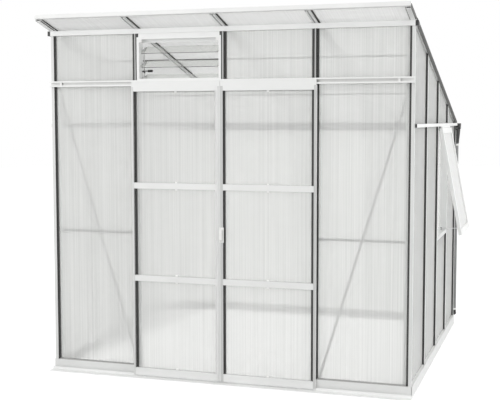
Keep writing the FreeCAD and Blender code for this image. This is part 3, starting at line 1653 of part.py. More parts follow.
def add_pivot(body, name, face, leftwards):
    """Round pin that turns in the frame's side member."""
    pin = sketch_on(body, f"{name}_pivot", "YZ_Plane", face)
    ring(pin, "0", "0", "pivot_diameter / 2")
    gap = "link_gap" if leftwards else "side_gap"
    pad(body, pin, f"{gap} + pivot_diameter", back=leftwards)


def add_crank(body, name):
    """Crank arm beside a clip, with the pin that carries the link bar."""
    arm = sketch_on(body, f"crank_{name}_arm", "YZ_Plane", CRANK_FACE)
    loop(arm, [
        ("0", "-link_width / 2"),
        ("crank_in", "crank_up - link_width / 2"),
        ("crank_in + link_width / 2", "crank_up"),
        ("crank_in", "crank_up + link_width / 2"),
        ("0", "link_width / 2"),
    ])
    pad(body, arm, "link_thick")
    pin = sketch_on(body, f"crank_{name}_pin", "YZ_Plane", CRANK_FACE)
    ring(pin, "crank_in", "crank_up", "crank_pin / 2")
    pad(body, pin, "link_thick + 3 * running_gap", back=True)


def make_louvre_link():
    """Upright bar that joins the crank pins of the slats and of the lever."""
    levels = slat_levels()
    face = f"({LOUVRE_MIDDLE} + {CRANK_FACE} - link_thick - running_gap)"
    body = new_body("louvre_link_body")
    sketch = sketch_on(body, "louvre_link_bar", "YZ_Plane", face)
    middle = "(slat_setback - frame_depth / 2 + crank_radius * cos(crank_turn))"
    drop = "crank_radius * sin(crank_turn)"
    low = f"({levels[2]} - {drop} - link_width)"
    high = f"({levels[0]} - {drop} + link_width)"
    loop(sketch, rectangle(f"{middle} - link_width / 2", f"{middle} + link_width / 2", low, high))
    for index, level in enumerate(levels + ["lever_level"]):
        gap = "bore_gap" if index == 0 else "4 * bore_gap"
        ring(sketch, middle, f"{level} - {drop}", f"crank_pin / 2 + {gap}")
    pad(body, sketch, "link_thick")
    node("louvre_link", body)


def make_louvre_lever():
    """Hand lever with a crank of its own, pivoted between the two lower slats."""
    body = new_body("louvre_lever_body")
    hub = sketch_on(body, "lever_hub", "YZ_Plane", CRANK_FACE)
    ring(hub, "0", "0", "link_width / 2")
    pad(body, hub, "link_thick")
    add_pivot(body, "lever", CRANK_FACE, True)
    add_crank(body, "lever")
    arm = sketch_on(body, "lever_arm", "YZ_Plane", CRANK_FACE)
    along = ("cos(lever_lead)", "sin(lever_lead)")
    half = "link_width / 4"
    loop(arm, [
        (f"{half} * {along[1]}", f"-{half} * {along[0]}"),
        (f"lever_length * {along[0]} + {half} * {along[1]}",
         f"lever_length * {along[1]} - {half} * {along[0]}"),
        (f"lever_length * {along[0]} - {half} * {along[1]}",
         f"lever_length * {along[1]} + {half} * {along[0]}"),
        (f"-{half} * {along[1]}", f"{half} * {along[0]}"),
    ])
    pad(body, arm, "link_thick")
    slat_frame(body, "lever_level")
    knob = new_body("louvre_knob_body")
    ball = sketch_on(knob, "knob_outline", "YZ_Plane", f"{CRANK_FACE} + link_thick")
    ring(ball, f"lever_length * {along[0]}", f"lever_length * {along[1]}", "knob_diameter / 2")
    pad(knob, ball, "2 * knob_diameter")
    slat_frame(knob, "lever_level")
    node("louvre_lever", body, knob)


# Side window

def make_window_surround():
    """Sill and jamb boxes that line the window bay of the right wall."""
    left, right = f"{bar_at('right', WINDOW_BAY)}", f"{bar_at('right', WINDOW_BAY + 1)}"
    bottom, top = "window_sill_bottom", "window_sill_top"
    low = f"({left} + channel_width / 2)"
    high = f"({right} - channel_width / 2)"
    body = new_body("window_sill_body")
    box = sketch_on(body, "window_sill_box", "YZ_Plane", low)
    loop(box, rectangle("channel_front", "bar_depth", bottom, top))
    loop(box, rectangle("channel_front + beam_wall", "bar_depth - beam_wall",
                        f"{bottom} + beam_wall", f"{top} - beam_wall"))
    pad(body, box, f"{high} - {low}")
    nose_low = f"({left} + seat_width / 2)"
    nose_high = f"({right} - seat_width / 2)"
    lip = sketch_on(body, "window_sill_lip", "YZ_Plane", nose_low)
    loop(lip, rectangle("0", "channel_front", bottom, top))
    pad(body, lip, f"{nose_high} - {nose_low}")
    sill_piece = on_wall(body, "right")

    jambs = []
    head = "side_rail_level - transom_height / 2"
    for name, centre, sign in (("near", left, "+"), ("far", right, "-")):
        inner = f"({centre} {sign} jamb_width)"
        steps = [
            (f"{centre} {sign} nose_width / 2", "0"),
            (inner, "0"),
            (inner, "bar_depth"),
            (f"{centre} {sign} channel_width / 2", "bar_depth"),
            (f"{centre} {sign} channel_width / 2", "channel_front"),
            (f"{centre} {sign} seat_width / 2", "channel_front"),
            (f"{centre} {sign} seat_width / 2", "pane_back"),
            (f"{centre} {sign} nose_width / 2", "pane_back"),
        ]
        jamb = prism(f"window_jamb_{name}", "XY_Plane", [steps], f"{head} - {top}", top)
        jambs.append(on_wall(jamb, "right"))
    node("window_surround", sill_piece, *jambs)


def hinge_x():
    return "(frame_width / 2 + window_hinge_reach)"


def make_window_hinge():
    """Fixed hinge strip: a leaf under the side rail that ends in a round bead."""
    body = new_body("window_hinge_body")
    half = "(window_width / 2 - window_frame)"
    neck = "hinge_rod / 6"
    top = "side_rail_level - side_rail_height / 2 - window_hinge_level"
    leaf = sketch_on(body, "window_hinge_leaf", "XZ_Plane", f"-{half}")
    inner = "gable_strip_thick + side_rail_depth / 2 - window_hinge_reach"
    loop(leaf, [
        (f"-{neck}", "0"),
        (neck, "0"),
        (neck, top),
        (inner, top),
        (inner, f"{top} - hinge_leaf"),
        (f"-{neck}", f"{top} - hinge_leaf"),
    ])
    pad(body, leaf, f"2 * {half}")
    bead = sketch_on(body, "window_hinge_bead", "XZ_Plane", f"-{half}")
    ring(bead, "0", "0", "hinge_rod / 2")
    pad(body, bead, f"2 * {half}")
    place(body, hinge_x(), "window_centre", "window_hinge_level")
    return body


def window_frame(body):
    """Hang a piece on the hinge axis, swung out to the rest angle."""
    return place(body, hinge_x(), "window_centre", "window_hinge_level", -Y_AXIS, "window_angle")


def make_window():
    half = "window_width / 2"
    back = "-window_depth / 2"
    front = "window_depth / 2"
    bottom = "-window_length"
    head = "-(hinge_rod / 2 + hinge_hook)"
    pieces = []
    for name, low in (("near", f"-{half}"), ("far", f"{half} - window_frame")):
        stile = prism(f"sash_stile_{name}", "XY_Plane", [
            rectangle(back, front, low, f"{low} + window_frame"),
            rectangle(f"{back} + channel_wall", f"{front} - channel_wall",
                      f"{low} + channel_wall", f"{low} + window_frame - channel_wall"),
        ], f"{head} - ({bottom})", bottom)
        pieces.append(window_frame(stile))
    inner = f"({half} - window_frame)"
    foot = prism("sash_foot_rail", "XZ_Plane", [
        rectangle(back, front, bottom, f"{bottom} + window_frame"),
        rectangle(f"{back} + channel_wall", f"{front} - channel_wall",
                  f"{bottom} + channel_wall", f"{bottom} + window_frame - channel_wall"),
    ], f"2 * {inner}", f"-{inner}")
    pieces.append(window_frame(foot))
    pieces.append(window_frame(sash_head_rail(inner, back, front, head)))
    node("window_sash", *pieces, make_stay_lug())

    pane_body = prism("window_pane_body", "YZ_Plane", [
        rectangle(f"-{inner}", inner, f"{bottom} + window_frame", f"{head} - window_frame"),
    ], "pane_thick", "-pane_thick / 2")
    node("window_pane", window_frame(pane_body))


def sash_head_rail(inner, back, front, head):
    """Top rail of the sash with the hook that wraps the hinge bead."""
    body = new_body("sash_head_rail")
    bore = "(hinge_rod / 2 + bore_gap)"
    wrap = "(hinge_rod / 2 + hinge_hook)"
    box = sketch_on(body, "sash_head_box", "XZ_Plane", f"-{inner}")
    loop(box, rectangle(back, front, f"{head} - window_frame", f"{head}"))
    loop(box, rectangle(f"{back} + channel_wall", f"{front} - channel_wall",
                        f"{head} - window_frame + channel_wall", f"{head} - channel_wall"))
    pad(body, box, f"2 * {inner}")
    hook = sketch_on(body, "sash_hook", "XZ_Plane", f"-{inner}")
    ring(hook, "0", "0", wrap)
    pad(body, hook, f"2 * {inner}")
    hollow = sketch_on(body, "sash_hook_bore", "XZ_Plane", f"-{inner}")
    ring(hollow, "0", "0", bore)
    cut(body, hollow, f"2 * {inner}", back=True)
    mouth = sketch_on(body, "sash_hook_mouth", "XZ_Plane", f"-{inner}")
    loop(mouth, [
        ("-hinge_rod / 4", "0"),
        ("hinge_rod / 4", "0"),
        (wrap, wrap),
        (f"-{wrap}", wrap),
    ])
    cut(body, mouth, f"2 * {inner}", back=True)
    return body


def stay_pivot_offset():
    return "-window_hinge_reach", "-stay_drop"


def make_stay_lug():
    """Ear with a pin on the sash's foot that carries the stay."""
    across, down = stay_pivot_offset()
    lug = new_body("stay_lug_body")
    side = "-stay_offset - stay_width / 2 - running_gap"
    plate = sketch_on(lug, "stay_lug_plate", "XZ_Plane", side)
    loop(plate, [
        ("-window_depth / 2", f"{down} - stay_width / 4"),
        (f"{across} - stay_width / 3", f"{down} - stay_width / 4"),
        (f"{across} - stay_width / 3", f"{down} + stay_width / 3"),
        ("-window_depth / 2", f"{down} + stay_width"),
    ])
    pad(lug, plate, "stay_thick", back=True)
    pin = sketch_on(lug, "stay_lug_pin", "XZ_Plane", side)
    ring(pin, across, down, "stay_thick / 2")
    pad(lug, pin, "stay_width + 2 * running_gap")
    return window_frame(lug)


def make_stay():
    """Slotted bar hung on the sash's foot and guided by a stud on the sill."""
    swing = "window_angle"
    pivot_x = f"({hinge_x()} + stay_drop * sin({swing}) - window_hinge_reach * cos({swing}))"
    pivot_z = f"(window_hinge_level - stay_drop * cos({swing}) - window_hinge_reach * sin({swing}))"
    bar_body = new_body("window_stay_body")
    flat = sketch_on(bar_body, "stay_flat", "XY_Plane", "-stay_thick / 2")
    eye = "stay_thick"
    root = "-stay_thick / 2 - bore_gap"
    loop(flat, rectangle("-stay_length", root, "-stay_width / 2", "stay_width / 2"))
    slot_loop(flat, "-stay_length + stay_width", f"-{eye} - stay_width", "0", "stay_slot / 2")
    pad(bar_body, flat, "stay_thick")
    knuckle = sketch_on(bar_body, "stay_knuckle", "XZ_Plane", "-stay_width / 2")
    ring(knuckle, "0", "0", eye)
    pad(bar_body, knuckle, "stay_width")
    bore = sketch_on(bar_body, "stay_bore", "XZ_Plane", "-stay_width / 2")
    ring(bore, "0", "0", "stay_thick / 2 + bore_gap")
    cut(bar_body, bore, "stay_width", back=True)
    place(bar_body, pivot_x, "window_centre + stay_offset", pivot_z, -Y_AXIS, "stay_slope")
    node("window_stay", bar_body)

    stud = new_body("stay_stud_body")
    profile = sketch_on(stud, "stay_stud_profile", "XZ_Plane")
    loop(profile, [
        ("0", "0"),
        ("stay_stud / 2", "0"),
        ("stay_stud / 2", "stay_width"),
        ("stay_stud", "stay_width"),
        ("stay_stud", "stay_width + stay_thick"),
        ("0", "stay_width + stay_thick"),
    ])
    turned(stud, profile, "V_Axis")
    place(stud, "frame_width / 2 - stay_stud_inset", "window_centre + stay_offset", "window_sill_top")
    node("stay_stud", stud)


# Build

def build():
    make_base()
    make_corner_shoes()
    make_sills()
    make_corner_posts()
    make_bars()
    make_transoms()
    node("inner_rails", *make_mid_rails())
    node("braces", *make_braces())
    beam_caps = make_front_beam()
    gutter_caps = make_rear_beam()
    pipe_clips = make_drain()
    node("pipe_clips", *pipe_clips)
    make_rafters()
    make_fascia()
    make_roof_panes()
    make_roof_joints()
    make_roof_seals()
    rails, rail_plugs = make_side_rails()
    make_wall_panes()
    make_wall_seals()
    make_track()
    make_door("left")
    make_door("right")
    make_handle()
    louvre_blocks = make_louvre_frame()
    node("end_caps", *beam_caps, *gutter_caps, *rail_plugs, *louvre_blocks)
    make_slats()
    make_louvre_link()
    make_louvre_lever()
    make_window_surround()
    node("side_rails", *rails, make_window_hinge())
    make_window()
    make_stay()


def check_model():
    """Stop on any failed object and on any empty or broken sub-part."""
    for thing in doc.Objects:
        if "Invalid" in thing.State or "Error" in thing.State:
            raise RuntimeError(f"{thing.Name} failed: {thing.State}")
    for thing in nodes:
        if thing.Shape.isNull() or not thing.Shape.isValid():
            raise RuntimeError(f"{thing.Label} has no valid shape")


def export():
    os.makedirs("parts", exist_ok=True)
    for thing in nodes:
        thing.Shape.exportStep(f"parts/{thing.Label}.step")
        print(thing.Label, len(thing.Shape.Solids), "solids")
    print(len(nodes), "sub-parts")


build()
doc.recompute()
check_model()
export()
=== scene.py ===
# %% [markdown]
# # A lean-to greenhouse, finished piece by piece
#
# The greenhouse comes in as a fixed frame of solid parts: bars, panes, rubber strips, doors,
# a louvre window and a side window. This lesson gives every part the finish of the real one:
# powder-coated aluminium, fluted twin-wall sheet, matt rubber and moulded plastic. Darker
# copies of some finishes and a few grey strips paint the shade that falls on those parts.
# Each step first says what the thing is on a real greenhouse, then how it is made here.

# %% Load the frame
import math

import bmesh
import bpy
from mathutils import Matrix, Vector


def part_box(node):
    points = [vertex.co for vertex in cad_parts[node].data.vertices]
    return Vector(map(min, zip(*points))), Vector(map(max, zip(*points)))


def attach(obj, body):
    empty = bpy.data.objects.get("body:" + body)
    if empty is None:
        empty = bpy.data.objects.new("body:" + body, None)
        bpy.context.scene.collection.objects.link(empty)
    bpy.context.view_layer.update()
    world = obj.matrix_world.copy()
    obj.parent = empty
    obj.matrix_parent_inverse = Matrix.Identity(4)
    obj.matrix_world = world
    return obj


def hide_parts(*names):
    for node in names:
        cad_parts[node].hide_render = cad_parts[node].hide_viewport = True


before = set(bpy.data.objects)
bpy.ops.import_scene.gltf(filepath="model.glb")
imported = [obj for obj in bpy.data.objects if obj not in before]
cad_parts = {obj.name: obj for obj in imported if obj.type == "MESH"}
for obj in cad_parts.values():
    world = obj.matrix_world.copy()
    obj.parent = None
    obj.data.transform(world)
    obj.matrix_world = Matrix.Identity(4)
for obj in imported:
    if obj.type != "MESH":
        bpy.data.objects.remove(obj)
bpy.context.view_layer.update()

# %% [markdown]
# ## The camera
#
# The picture was taken from about six metres in front of the doors, a little to the right,
# at eye height. A long lens keeps the uprights almost parallel.
# The angles come from the straight edges of the house: the bars stand upright, the track
# and the base run level, so three vanishing points fix the turn, the tilt and the lens.

# %% Camera
camera_data = bpy.data.cameras.new("view_camera")
camera_data.sensor_width = 36   # millimetres, and so is the lens
camera_data.lens = 71.37
camera_data.clip_end = 100
camera = bpy.data.objects.new("view_camera", camera_data)
bpy.context.scene.collection.objects.link(camera)
camera.location = (2.1442, -7.3594, 1.7435)
TILT_DOWN, ROLL, TURN = 4.602, 0.043, 17.677   # degrees
camera.rotation_euler = [math.radians(angle) for angle in (90 - TILT_DOWN, ROLL, TURN)]
bpy.context.scene.camera = camera
print("camera at", tuple(round(v, 2) for v in camera.location))

# %% [markdown]
# ## The white surround
#
# A studio picture of such a house is lit by an even white surround. Here that is the world.
# What shows behind the house, also through a pane or in a gloss, is plain white, while the
# light that reaches the surfaces is a little weaker, so that white paint doesn't burn out.
# A picture of a studio would give more lively gloss, but on satin paint hardly any of it shows.

# %% World
def blend_shaders(tree, first, second, share):
    """A mix of two shaders; `share`, a number or an output, is the part of the second."""
    mix = tree.nodes.new("ShaderNodeMixShader")
    if isinstance(share, float):
        mix.inputs["Fac"].default_value = share
    else:
        tree.links.new(share, mix.inputs["Fac"])
    tree.links.new(first, mix.inputs[1])
    tree.links.new(second, mix.inputs[2])
    return mix.outputs[0]


def seen_directly(tree):
    """1 for rays that show a background: from the camera, in gloss or through a pane."""
    paths = tree.nodes.new("ShaderNodeLightPath")
    share = paths.outputs["Is Camera Ray"]
    for kind in ("Is Glossy Ray", "Is Transmission Ray"):
        wider = tree.nodes.new("ShaderNodeMath")
        wider.operation = "MAXIMUM"
        tree.links.new(share, wider.inputs[0])
        tree.links.new(paths.outputs[kind], wider.inputs[1])
        share = wider.outputs[0]
    return share


scene = bpy.context.scene
scene.view_settings.view_transform = "Standard"
world = bpy.data.worlds.new("studio")
scene.world = world
world.use_nodes = True
tree = world.node_tree
tree.nodes.clear()
world_out = tree.nodes.new("ShaderNodeOutputWorld")
seen = tree.nodes.new("ShaderNodeBackground")
seen.inputs["Color"].default_value = (1, 1, 1, 1)
seen.inputs["Strength"].default_value = 1.0
given = tree.nodes.new("ShaderNodeBackground")
given.inputs["Color"].default_value = (1, 1, 0.99, 1)
given.inputs["Strength"].default_value = 0.84
chosen = blend_shaders(tree, given.outputs[0], seen.outputs[0], seen_directly(tree))
tree.links.new(chosen, world_out.inputs["Surface"])
print("world ready")

# %% [markdown]
# ## Three soft lamps
#
# The surround alone would leave every side of a bar alike. Large square lamps in front, at the
# right and behind give the profiles a lighter and a darker side with soft edges. Small lamps
# would draw hard shadows, which the photograph doesn't show.


# %% Lamps
def soft_lamp(name, place, target, size, power):
    """A large square lamp that looks at a point."""
    data = bpy.data.lights.new(name, "AREA")
    data.shape = "SQUARE"
    data.size = size
    data.energy = power
    lamp = bpy.data.objects.new(name, data)
    lamp.location = place
    way = Vector(target) - Vector(place)
    lamp.rotation_euler = way.to_track_quat("-Z", "Y").to_euler()
    scene.collection.objects.link(lamp)


HOUSE = (0, 0, 1.2)
soft_lamp("key_lamp", (-3.5, -8.0, 3.0), HOUSE, size=5.0, power=185)
soft_lamp("side_lamp", (7.0, -2.0, 3.0), HOUSE, size=4.0, power=175)
soft_lamp("back_lamp", (0.0, 6.0, 5.0), (0, 0, 1.0), size=5.0, power=170)
print("lamps ready")

# %% [markdown]
# ## The floor
#
# The house stands on a pale studio floor that all but vanishes. A wide disc does for it. Rays
# that show the floor find it nearly white, with a faint shadow round the base, and all other
# rays find a plain grey, so that it doesn't light the house from below too strongly.

# %% Floor
floor_mesh = bpy.data.meshes.new("floor")
maker = bmesh.new()
bmesh.ops.create_circle(maker, cap_ends=True, segments=64, radius=30)
bmesh.ops.translate(maker, verts=maker.verts, vec=(0, 0, -0.0005))   # just under the house
maker.to_mesh(floor_mesh)
maker.free()
floor = bpy.data.objects.new("floor", floor_mesh)
scene.collection.objects.link(floor)
floor_look = bpy.data.materials.new("pale_floor")
floor_look.use_nodes = True
floor_tree = floor_look.node_tree
floor_tree.nodes.clear()
floor_out = floor_tree.nodes.new("ShaderNodeOutputMaterial")
plain = floor_tree.nodes.new("ShaderNodeBsdfDiffuse")
plain.inputs["Color"].default_value = (0.55, 0.55, 0.55, 1)
shade = floor_tree.nodes.new("ShaderNodeBsdfDiffuse")
shade.inputs["Color"].default_value = (0.30, 0.30, 0.30, 1)
glow = floor_tree.nodes.new("ShaderNodeEmission")
glow.inputs["Color"].default_value = (1, 1, 1, 1)
glow.inputs["Strength"].default_value = 0.80
shown = floor_tree.nodes.new("ShaderNodeAddShader")
floor_tree.links.new(shade.outputs[0], shown.inputs[0])
floor_tree.links.new(glow.outputs[0], shown.inputs[1])
chosen = blend_shaders(floor_tree, plain.outputs[0], shown.outputs[0], seen_directly(floor_tree))
floor_tree.links.new(chosen, floor_out.inputs["Surface"])
floor_mesh.materials.append(floor_look)
print("floor ready")

# %% [markdown]
# ## A toolkit for finishes
#
# Every finish starts the same way: one shader, a colour that drifts a little over the
# surface, a roughness that drifts with it, and a bump for the fine relief. Patterns are tied
# to object coordinates. Every piece has its origin at the middle of the house, so a pattern
# measured in metres runs on from one piece to the next as it would on site.


# %% Toolkit
def new_look(name, colour, roughness, metallic=0.0, specular=0.5):
    """A material with its shader's plain values set on the shader itself."""
    look = bpy.data.materials.new(name)
    look.use_nodes = True
    nodes = look.node_tree.nodes
    body = nodes["Principled BSDF"]
    body.inputs["Base Color"].default_value = (*colour, 1)
    body.inputs["Roughness"].default_value = roughness
    body.inputs["Metallic"].default_value = metallic
    body.inputs["Specular IOR Level"].default_value = specular
    return look, nodes, look.node_tree.links, body


def coordinates(nodes, links, scale=(1, 1, 1)):
    """Object coordinates through a mapping, so a pattern can be stretched."""
    where = nodes.new("ShaderNodeTexCoord")
    mapping = nodes.new("ShaderNodeMapping")
    mapping.inputs["Scale"].default_value = scale
    links.new(where.outputs["Object"], mapping.inputs["Vector"])
    return mapping.outputs["Vector"]


def noise(nodes, links, vector, scale, detail=2.0, roughness=0.5):
    """A cloudy pattern between 0 and 1; `scale` counts its features per metre."""
    texture = nodes.new("ShaderNodeTexNoise")
    texture.inputs["Scale"].default_value = scale
    texture.inputs["Detail"].default_value = detail
    texture.inputs["Roughness"].default_value = roughness
    links.new(vector, texture.inputs["Vector"])
    return texture.outputs["Fac"]


def ramp(nodes, links, factor, low, high, start=0.3, end=0.7):
    """Colours or greys between two stops."""
    blend = nodes.new("ShaderNodeValToRGB")
    blend.color_ramp.elements[0].position = start
    blend.color_ramp.elements[1].position = end
    blend.color_ramp.elements[0].color = (*low, 1)
    blend.color_ramp.elements[1].color = (*high, 1)
    links.new(factor, blend.inputs["Fac"])
    return blend.outputs["Color"]


def relief(nodes, links, shader, height, strength, depth):
    """A bump on a shader from a pattern; `depth` is in metres."""
    bump = nodes.new("ShaderNodeBump")
    bump.inputs["Strength"].default_value = strength
    bump.inputs["Distance"].default_value = depth
    links.new(height, bump.inputs["Height"])
    links.new(bump.outputs["Normal"], shader.inputs["Normal"])


def grey(value):
    """A colour without a tint."""
    return (value, value, value)


def drifting(name, low, high, roughness, scale, metallic=0.0, specular=0.5,
             rough_range=0.06, bump_scale=900, bump_depth=0.00006, stretch=(1, 1, 1)):
    """A solid finish whose tone and gloss drift a little, with a fine relief."""
    middle = tuple((a + b) / 2 for a, b in zip(low, high))
    look, nodes, links, body = new_look(name, middle, roughness, metallic, specular)
    vector = coordinates(nodes, links, stretch)
    tone = noise(nodes, links, vector, scale, 4.0, 0.6)
    links.new(ramp(nodes, links, tone, low, high), body.inputs["Base Color"])
    gloss = ramp(nodes, links, tone, grey(roughness - rough_range), grey(roughness + rough_range))
    links.new(gloss, body.inputs["Roughness"])
    relief(nodes, links, body, noise(nodes, links, vector, bump_scale, 2.0), 0.5, bump_depth)
    return look


print("toolkit ready")

# %% [markdown]
# ## Powder-coated aluminium
#
# Bars, rails, beams and door frames are extruded aluminium under a satin white powder coat.
# Close up, the coat has a fine orange-peel relief and its tone drifts by a shade or two.
# On the real house it is all one white. In the photograph the groups of parts differ in tone
# by their light, so here each group gets a tone of its own, which is simpler than placing a
# lamp for each. Metals, rubbers and plastics are made by the same function.

# %% Metals and plastics
white_coat = drifting("white_powder_coat", (0.80, 0.805, 0.80), (0.86, 0.865, 0.86), 0.36, 3.0)
# Darker copies of the white coat: each one paints the shade that falls on its group of parts.
bar_coat_shaded = drifting("bar_coat_painted_shade", (0.66, 0.665, 0.66), (0.71, 0.715, 0.71), 0.38, 3.0)
door_coat_shaded = drifting("door_coat_painted_shade", (0.75, 0.755, 0.75), (0.80, 0.805, 0.80), 0.36, 3.0)
post_coat_shaded = drifting("post_coat_painted_shade", (0.52, 0.525, 0.52), (0.56, 0.565, 0.56), 0.4, 3.0)
stile_coat_shaded = drifting("stile_coat_painted_shade", (0.62, 0.625, 0.62), (0.66, 0.665, 0.66), 0.38, 3.0)
base_coat_shaded = drifting("base_coat_painted_shade", (0.70, 0.705, 0.70), (0.75, 0.755, 0.75), 0.38, 3.0)
galvanised = drifting("galvanised_steel", (0.34, 0.35, 0.36), (0.46, 0.47, 0.48), 0.42, 60.0,
                      metallic=0.6, rough_range=0.1)
# The rear gutter is white; this dark grey paints the shade it lies in.
gutter_shade_grey = drifting("gutter_painted_shade", (0.12, 0.122, 0.12), (0.15, 0.152, 0.15), 0.4, 3.0)
# Bare steel for braces, inner rails and transoms, made darker still to paint the shade they lie in
# behind the sheet.
brace_steel_and_shade = drifting("brace_steel_and_shade", (0.26, 0.262, 0.26), (0.33, 0.332, 0.33), 0.45, 60.0,
                       metallic=0.3, rough_range=0.08)
bare_metal = drifting("mill_aluminium", (0.72, 0.73, 0.74), (0.82, 0.83, 0.84), 0.3, 25.0,
                      metallic=0.9, stretch=(1, 1, 8))
black_rubber = drifting("black_rubber", (0.045, 0.045, 0.044), (0.07, 0.07, 0.068), 0.62, 40.0,
                        specular=0.35, bump_scale=1500)
grey_rubber = drifting("grey_rubber", (0.085, 0.085, 0.082), (0.12, 0.12, 0.116), 0.6, 30.0,
                       specular=0.35, bump_scale=1500)
strip_rubber = drifting("strip_rubber", (0.035, 0.035, 0.034), (0.05, 0.05, 0.048), 0.6, 30.0,
                        specular=0.3, bump_scale=1500)
# Grey for the strips at the wall's foot; on the sill's joint it paints a shadow line.
foot_strip_and_shade_grey = drifting("foot_strip_and_shade_grey", (0.34, 0.34, 0.335), (0.40, 0.40, 0.392), 0.6, 30.0,
                       specular=0.35, bump_scale=1500)
black_plastic = drifting("black_plastic", (0.012, 0.012, 0.012), (0.02, 0.02, 0.02), 0.42, 30.0)
light_plastic = drifting("light_plastic", (0.55, 0.56, 0.55), (0.62, 0.63, 0.62), 0.4, 30.0)
white_plastic = drifting("white_plastic", (0.78, 0.78, 0.77), (0.84, 0.84, 0.83), 0.38, 30.0)
grey_pipe = drifting("grey_pipe", (0.20, 0.205, 0.205), (0.26, 0.265, 0.265), 0.4, 12.0)
nylon = drifting("nylon", (0.66, 0.66, 0.62), (0.74, 0.74, 0.70), 0.35, 30.0)
print("plain finishes:", 19)

# %% [markdown]
# ## Fluted twin-wall sheet
#
# The panes are two thin skins of clear plastic joined by ribs 6 mm apart, so one looks
# through them as through frosted glass with fine stripes down the sheet. The sheet's body is
# plain here: the stripes come from the finish, since ribs in the mesh would take far more
# faces than they are worth. Part of the surface refracts, and a wave for each rib ripples that
# part. The ripple blurs sideways only, so a level rail behind a pane stays sharp while an
# upright melts away. Lamps shine straight through, because the renderer can't aim at a lamp
# through bent light and the inside would turn dark.

# %% Parts of the sheet's finish
RIB_PITCH = 0.0058
WAVES_PER_SCALE = 20 / (2 * math.pi)   # a wave texture's bands in one metre at scale 1


def stretched(tree, across, along_ribs, over_ribs):
    """Object coordinates whose scale differs across the ribs and along them."""
    scale = [over_ribs if axis == across else along_ribs for axis in "XYZ"]
    return coordinates(tree.nodes, tree.links, scale)


def blend_values(tree, first, second, share):
    """A mix of two patterns; `share` is the part of the second."""
    mix = tree.nodes.new("ShaderNodeMix")
    mix.data_type = "FLOAT"
    mix.inputs["Factor"].default_value = share
    tree.links.new(first, mix.inputs["A"])
    tree.links.new(second, mix.inputs["B"])
    return mix.outputs["Result"]


def rib_wave(tree, across):
    """One smooth wave for each rib of the sheet."""
    ribs = tree.nodes.new("ShaderNodeTexWave")
    ribs.wave_type = "BANDS"
    ribs.bands_direction = across
    ribs.wave_profile = "SIN"
    ribs.inputs["Scale"].default_value = 1 / RIB_PITCH / WAVES_PER_SCALE
    tree.links.new(coordinates(tree.nodes, tree.links), ribs.inputs["Vector"])
    return ribs.outputs["Fac"]


def rippled_view(tree, ribs, ripple):
    """The see-through part: bent by the ribs for the eye, straight for the lamps."""
    bent = tree.nodes.new("ShaderNodeBsdfRefraction")
    bent.inputs["Color"].default_value = (0.94, 0.945, 0.935, 1)
    bent.inputs["IOR"].default_value = 1.10
    bent.inputs["Roughness"].default_value = 0.02
    relief(tree.nodes, tree.links, bent, ribs, 1.0, ripple)
    straight = tree.nodes.new("ShaderNodeBsdfTransparent")
    straight.inputs["Color"].default_value = (0.97, 0.97, 0.965, 1)
    ray = tree.nodes.new("ShaderNodeLightPath")
    return blend_shaders(tree, bent.outputs[0], straight.outputs[0], ray.outputs["Is Shadow Ray"])


print("sheet helpers ready")

# %% [markdown]
# ## Sheets for walls, roof, slats and window
#
# The skin is part gloss and part glow, and a pattern decides how much of it covers the
# see-through part: mostly thin streaks down the sheet, some of the ribs' wave, and a little
# of a broad cloud. Roof and window are less clear than the walls, and the louvre's slats are
# nearly plain. One function with a few values makes them all.


# %% Twin-wall sheet
def fluted(name, across, tone=0.90, clear=0.56, depth=0.02, ripple=0.0009):
    """Translucent sheet with ribs; `across` is the axis that the stripes step along."""
    look, nodes, links, body = new_look(name, grey(tone), 0.3, 0.0, 0.45)
    tree = look.node_tree
    ribs = rib_wave(tree, across)
    streaks = noise(nodes, links, stretched(tree, across, 0.5, 120.0), 1.0, 3.0, 0.75)
    clouds = noise(nodes, links, stretched(tree, across, 0.8, 2.2), 1.0, 2.0, 0.5)
    pattern = blend_values(tree, blend_values(tree, ribs, streaks, 0.85), clouds, 0.15)
    tint = ramp(nodes, links, pattern, grey(tone - depth), grey(tone + depth), 0.3, 0.7)
    links.new(tint, body.inputs["Base Color"])
    relief(nodes, links, body, ribs, 0.3, 0.0006)
    glow_through = nodes.new("ShaderNodeBsdfTranslucent")
    links.new(tint, glow_through.inputs["Color"])
    skin = blend_shaders(tree, body.outputs[0], glow_through.outputs[0], 0.42)
    share = nodes.new("ShaderNodeMapRange")
    share.inputs["From Min"].default_value = 0.3
    share.inputs["From Max"].default_value = 0.7
    share.inputs["To Min"].default_value = 1 - clear - 0.05
    share.inputs["To Max"].default_value = 1 - clear + 0.05
    links.new(pattern, share.inputs["Value"])
    whole = blend_shaders(tree, rippled_view(tree, ribs, ripple), skin, share.outputs["Result"])
    links.new(whole, nodes["Material Output"].inputs["Surface"])
    return look


sheet_x = fluted("twin_wall_sheet", "X", depth=0.06)
sheet_y = fluted("twin_wall_sheet_side", "Y")
sheet_roof = fluted("twin_wall_sheet_roof", "X", tone=0.88, clear=0.25)
slat_sheet = fluted("slat_sheet", "X", tone=0.95, clear=0.85, depth=0.008, ripple=0.00003)
sash_sheet = fluted("sash_sheet", "Y", tone=0.97, clear=0.25, depth=0.01)
edge_sheet = fluted("edge_sheet", "X", tone=0.92, clear=0.15, depth=0.01, ripple=0.0001)
print("sheets:", 6)

# %% [markdown]
# ## Giving each part its finish
#
# A solid of the frame keeps its shape and only gets a material. The list goes by the part's
# name, so a part that is missing from it stops the lesson with a plain message.

